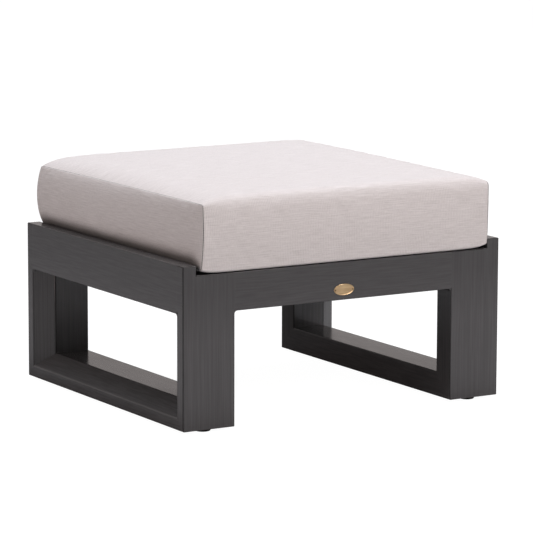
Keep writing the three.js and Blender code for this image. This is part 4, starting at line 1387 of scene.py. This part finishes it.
def makeFilling(kit, outer):
    outer = {**outer, "baseRound": kit["baseRound"]}
    counts = (kit["acrossTop"], kit["upFront"])
    # The wadding is a sleeve between two of the cushion's own forms, drawn in along their
    # normals.
    near, far, reach = kit["wadding"]
    wrap = cushionForm(outer, np.linspace(-reach, reach, kit["columns"] + 1), counts)[0]
    shells = [wrap - inset * outwardNormals(wrap) for inset in (near, far)]
    stack = np.concatenate([shells[0], shells[1][::-1]])
    faces = gridFaces(numbered(*stack.shape[:2], bothWays=True))
    points = clearOfRails(outer, stack.reshape(-1, 3), kit["waddingGap"])
    paddedPiece("fibre_wadding_sleeve", points, faces[:, ::outwardStep(points, faces)], fibre,
                "wadding", "cushion_wadding")
    wrap = cushionForm(outer, np.linspace(-1, 1, kit["columns"] + 1), counts)[0]
    wrap = wrap - kit["core"] * outwardNormals(wrap)
    middle = wrap.reshape(-1, 3).mean(0)
    wrap[..., 0] = middle[0] + (wrap[..., 0] - middle[0]) * kit["coreShare"]
    flat = {**outer, "sideSwell": (0, 0), "sideRoll": (0, 1, 0)}
    left, right = sidePatch(flat, wrap[0], counts, -1), sidePatch(flat, wrap[-1], counts, 1)
    points, parts = closedCushion(wrap, left, right, counts)
    faces = np.vstack(parts)
    paddedPiece("foam_core_block", points, faces[:, ::outwardStep(points, faces)], foam, "foam",
                "cushion_core")


makeFilling(filling, cushion)
print("cushion made")

zipShape = {
    "middle": 372.3, "half": 263.0, "tapeSteps": 106,
    "tape": (315.26, 316.06), "tapeReach": (0.8, 11.8), "cord": 0.5, "tapeWave": (0.12, 9.0),
    "toothPitch": 2.5, "toothEnd": 254.0, "toothReach": (0.62, 3.3), "toothTop": 317.66,
    "toothBase": 316.0, "toothBevel": (0.35, 0.72),
    "sliderAt": -247.0, "sliderLength": 11.0, "sliderHeight": 8.0, "sliderEdges": (50, 0.22, 2),
    "plates": ((313.96, 314.96), (318.06, 319.06)), "wingBase": 316.9,
    "bail": {"span": 7.0, "rise": 2.35, "width": 1.2, "thick": 0.85},
    "pull": {"length": 25.4, "width": 6.0, "thick": 1.0, "hinge": 320.01, "sides": 72},
}


# Points and faces of an outline in x and z, carried along y.
def prism(outline, low, high):
    points = np.vstack([np.insert(outline, 1, level, axis=1) for level in (low, high)])
    return points, facedOut(points, prismFaces(len(outline)))


def makeTapes(kit):
    # The tape's section has a corded inner edge under the teeth and a thin outer edge.
    near, far = kit["tapeReach"]
    back, front = kit["tape"]
    high, long = kit["tapeWave"]
    x = np.linspace(-kit["half"], kit["half"], kit["tapeSteps"])
    z = np.array([near + 0.15, near + 0.15, near + 1.6, near + 2.4, far - 1.2, far, far,
                  far - 1.2, near + 2.4, near + 1.6])
    y = np.array([back + 0.1, front + 0.3, front + kit["cord"], front, front, front - 0.2,
                  back + 0.2, back, back, back - 0.05])
    wave = high * np.sin(x / long)[:, None] * np.clip((z - near) / (far - near), 0, 1)
    for side, sign in (("upper", 1), ("lower", -1)):
        points = np.stack([np.repeat(x[:, None], len(z), 1), y - np.abs(wave),
                           kit["middle"] + sign * np.repeat(z[None], len(x), 0)],
                          -1).reshape(-1, 3)
        faces = facedOut(points, tubeFaces(len(x), len(z)))
        corners = np.concatenate([np.asarray(face) for face in faces])
        node = "zip_" + side + "_tape"
        piece = newPiece(node + "_woven", points, faces, "cushion", tapeCloth, "zip_tape",
                         (node,), points[corners][:, [0, 2]] * mm)
        piece.data.set_sharp_from_angle(angle=math.radians(60))


def makeTeeth(kit):
    # Each tooth is an eight-cornered outline with a neck, in three layers. The two rows are
    # half a pitch apart.
    pitch, (near, far) = kit["toothPitch"], kit["toothReach"]
    u = np.array([-0.55, -0.72, -0.42, -0.45, 0.45, 0.42, 0.72, 0.55])
    v = np.array([near, near + 0.7, near + 1.3, far, far, near + 1.3, near + 0.7, near])
    top, (drop, narrow) = kit["toothTop"], kit["toothBevel"]
    centre = (near + far) / 2
    for side, sign, shift in (("upper", 1, 0.0), ("lower", -1, 0.5)):
        one = np.vstack([
            np.stack([u * share, np.full(len(u), height),
                      sign * (centre + (v - centre) * share)], -1)
            for height, share in ((kit["toothBase"], 1.0), (top - drop, 1.0), (top, narrow))])
        faces = facedOut(one, tubeFaces(3, len(u)))
        end = kit["toothEnd"]
        spots = np.arange(-end + shift * pitch, end + 0.01 - shift * pitch, pitch)
        points, faces = joined([(one + (spot, 0, kit["middle"]), faces) for spot in spots])
        newPiece("zip_" + side + "_teeth", points, faces, "cushion", toothPlastic, "zip_tape")


def sweptArch(kit, at, base):
    # A flat strip bent over an arch: height = rise * (1 - |s|^3), from one foot to the other.
    s = np.linspace(-1, 1, 17)
    path = np.stack([kit["span"] / 2 * s, kit["rise"] * (1 - np.abs(s) ** 3)], -1)
    slopes = np.gradient(path, axis=0)
    slopes /= np.linalg.norm(slopes, axis=1, keepdims=True)
    normal = np.stack([-slopes[:, 1], slopes[:, 0]], -1)
    half, wide = kit["thick"] / 2, kit["width"] / 2
    section = [(-half, -wide), (half, -0.7 * wide), (half * 1.12, 0), (half, 0.7 * wide),
               (-half, wide), (-half * 1.1, 0)]
    points = np.stack([np.stack([
        at + path[:, 0] + normal[:, 0] * rise, base + path[:, 1] + normal[:, 1] * rise,
        np.full(len(s), float(side))], -1) for rise, side in section], 1).reshape(-1, 3)
    return points, facedOut(points, tubeFaces(len(s), len(section)))


def makeSlider(kit):
    at, long, high = kit["sliderAt"], kit["sliderLength"], kit["sliderHeight"]
    (backLow, backHigh), (faceLow, faceHigh) = kit["plates"]
    # The plates narrow to a nose where the two rows of teeth part.
    s = np.linspace(-1, 1, 13)
    wide = high / 2 * (1 - 0.22 * np.clip((s + 0.2) / 1.2, 0, 1) ** 2)
    wide *= np.sqrt(np.clip(1 - np.clip((np.abs(s) - 0.8) / 0.2, 0, 1) ** 2 * 0.35, 0, 1))
    side = np.stack([at + s * long / 2, wide], -1)
    outline = np.vstack([side, side[::-1] * (1, -1)])
    parts = [prism(outline, backLow, backHigh), prism(outline, faceLow, faceHigh)]
    x, z = side[1:-1].T
    for sign in (-1, 1):
        inner, outer = (np.stack([x, sign * (z - inset)], -1) for inset in (0.75, 0.08))
        parts.append(prism(np.vstack([inner, outer[::-1]]), kit["wingBase"], faceLow + 0.1))
    post = np.array([(at + 1.2, -0.45), (at + 4.2, -0.45), (at + 4.6, 0), (at + 4.2, 0.45),
                     (at + 1.2, 0.45), (at + 0.8, 0)])
    parts.append(prism(post, backHigh - 0.1, faceLow + 0.1))
    parts.append(sweptArch(kit["bail"], at, faceHigh - 0.1))
    points, faces = joined(parts)
    piece = newPiece("zip_slider_body", points + (0, 0, kit["middle"]), faces, "zip_slider",
                     zipMetal, "zip_metal", ("zip_slider",))
    easeEdges(piece, *kit["sliderEdges"])


def makePull(kit, at, level):
    # A flat loop: closed rings run from the outer edge over the face to the hole and back.
    # The hole lets the bail through, and the bar at its end lies under the bail.
    half, long, sides = kit["width"] / 2, kit["length"], kit["sides"]
    turn = np.linspace(0, 2 * math.pi, sides, endpoint=False)
    middle = 0.6 - long / 2

    # x = |cos|^0.35 and z = |sin|^0.6, with a waist drawn in by a cosine.
    def outline(shrink):
        x = np.sign(np.cos(turn)) * np.abs(np.cos(turn)) ** 0.35 * (long / 2 - shrink)
        share = (x / (long / 2) + 1) / 2
        waist = half * (0.80 + 0.20 * np.cos(2 * math.pi * share)) - shrink
        z = np.sign(np.sin(turn)) * np.abs(np.sin(turn)) ** 0.6 * waist
        return np.stack([middle + x, z], -1)

    holeAt = np.array([-2.9, 0.0])
    away = outline(0.0) - holeAt
    angle = np.arctan2(away[:, 1], away[:, 0])

    # |x / a|^3.5 + |z / b|^3.5 = 1, at the outline's own angles.
    def hole(grow):
        a, b = 2.3 + grow, 1.25 + grow
        reach = (np.abs(np.cos(angle) / a) ** 3.5 + np.abs(np.sin(angle) / b) ** 3.5) ** (-1 / 3.5)
        return holeAt + np.stack([reach * np.cos(angle), reach * np.sin(angle)], -1)

    thick, ease, edge = kit["thick"] / 2, 0.28, 0.2
    front = [(outline(0.0), edge), (outline(ease), thick), (hole(ease), thick), (hole(0.0), edge)]
    rings = front + [(flat, -height) for flat, height in front[::-1]]
    points = np.vstack([np.stack([at + flat[:, 0], np.full(sides, kit["hinge"] + height),
                                  flat[:, 1] + level], -1) for flat, height in rings])
    faces = gridFaces(numbered(len(rings), sides, bothWays=True)).tolist()
    piece = newPiece("zip_pull_tab", points, facedOut(points, faces), "zip_pull", zipMetal,
                     "zip_metal", ("zip_pull",))
    piece.data.set_sharp_from_angle(angle=math.radians(35))


makeTapes(zipShape)
makeTeeth(zipShape)
makeSlider(zipShape)
makePull(zipShape["pull"], zipShape["sliderAt"], zipShape["middle"])
print("zip made")
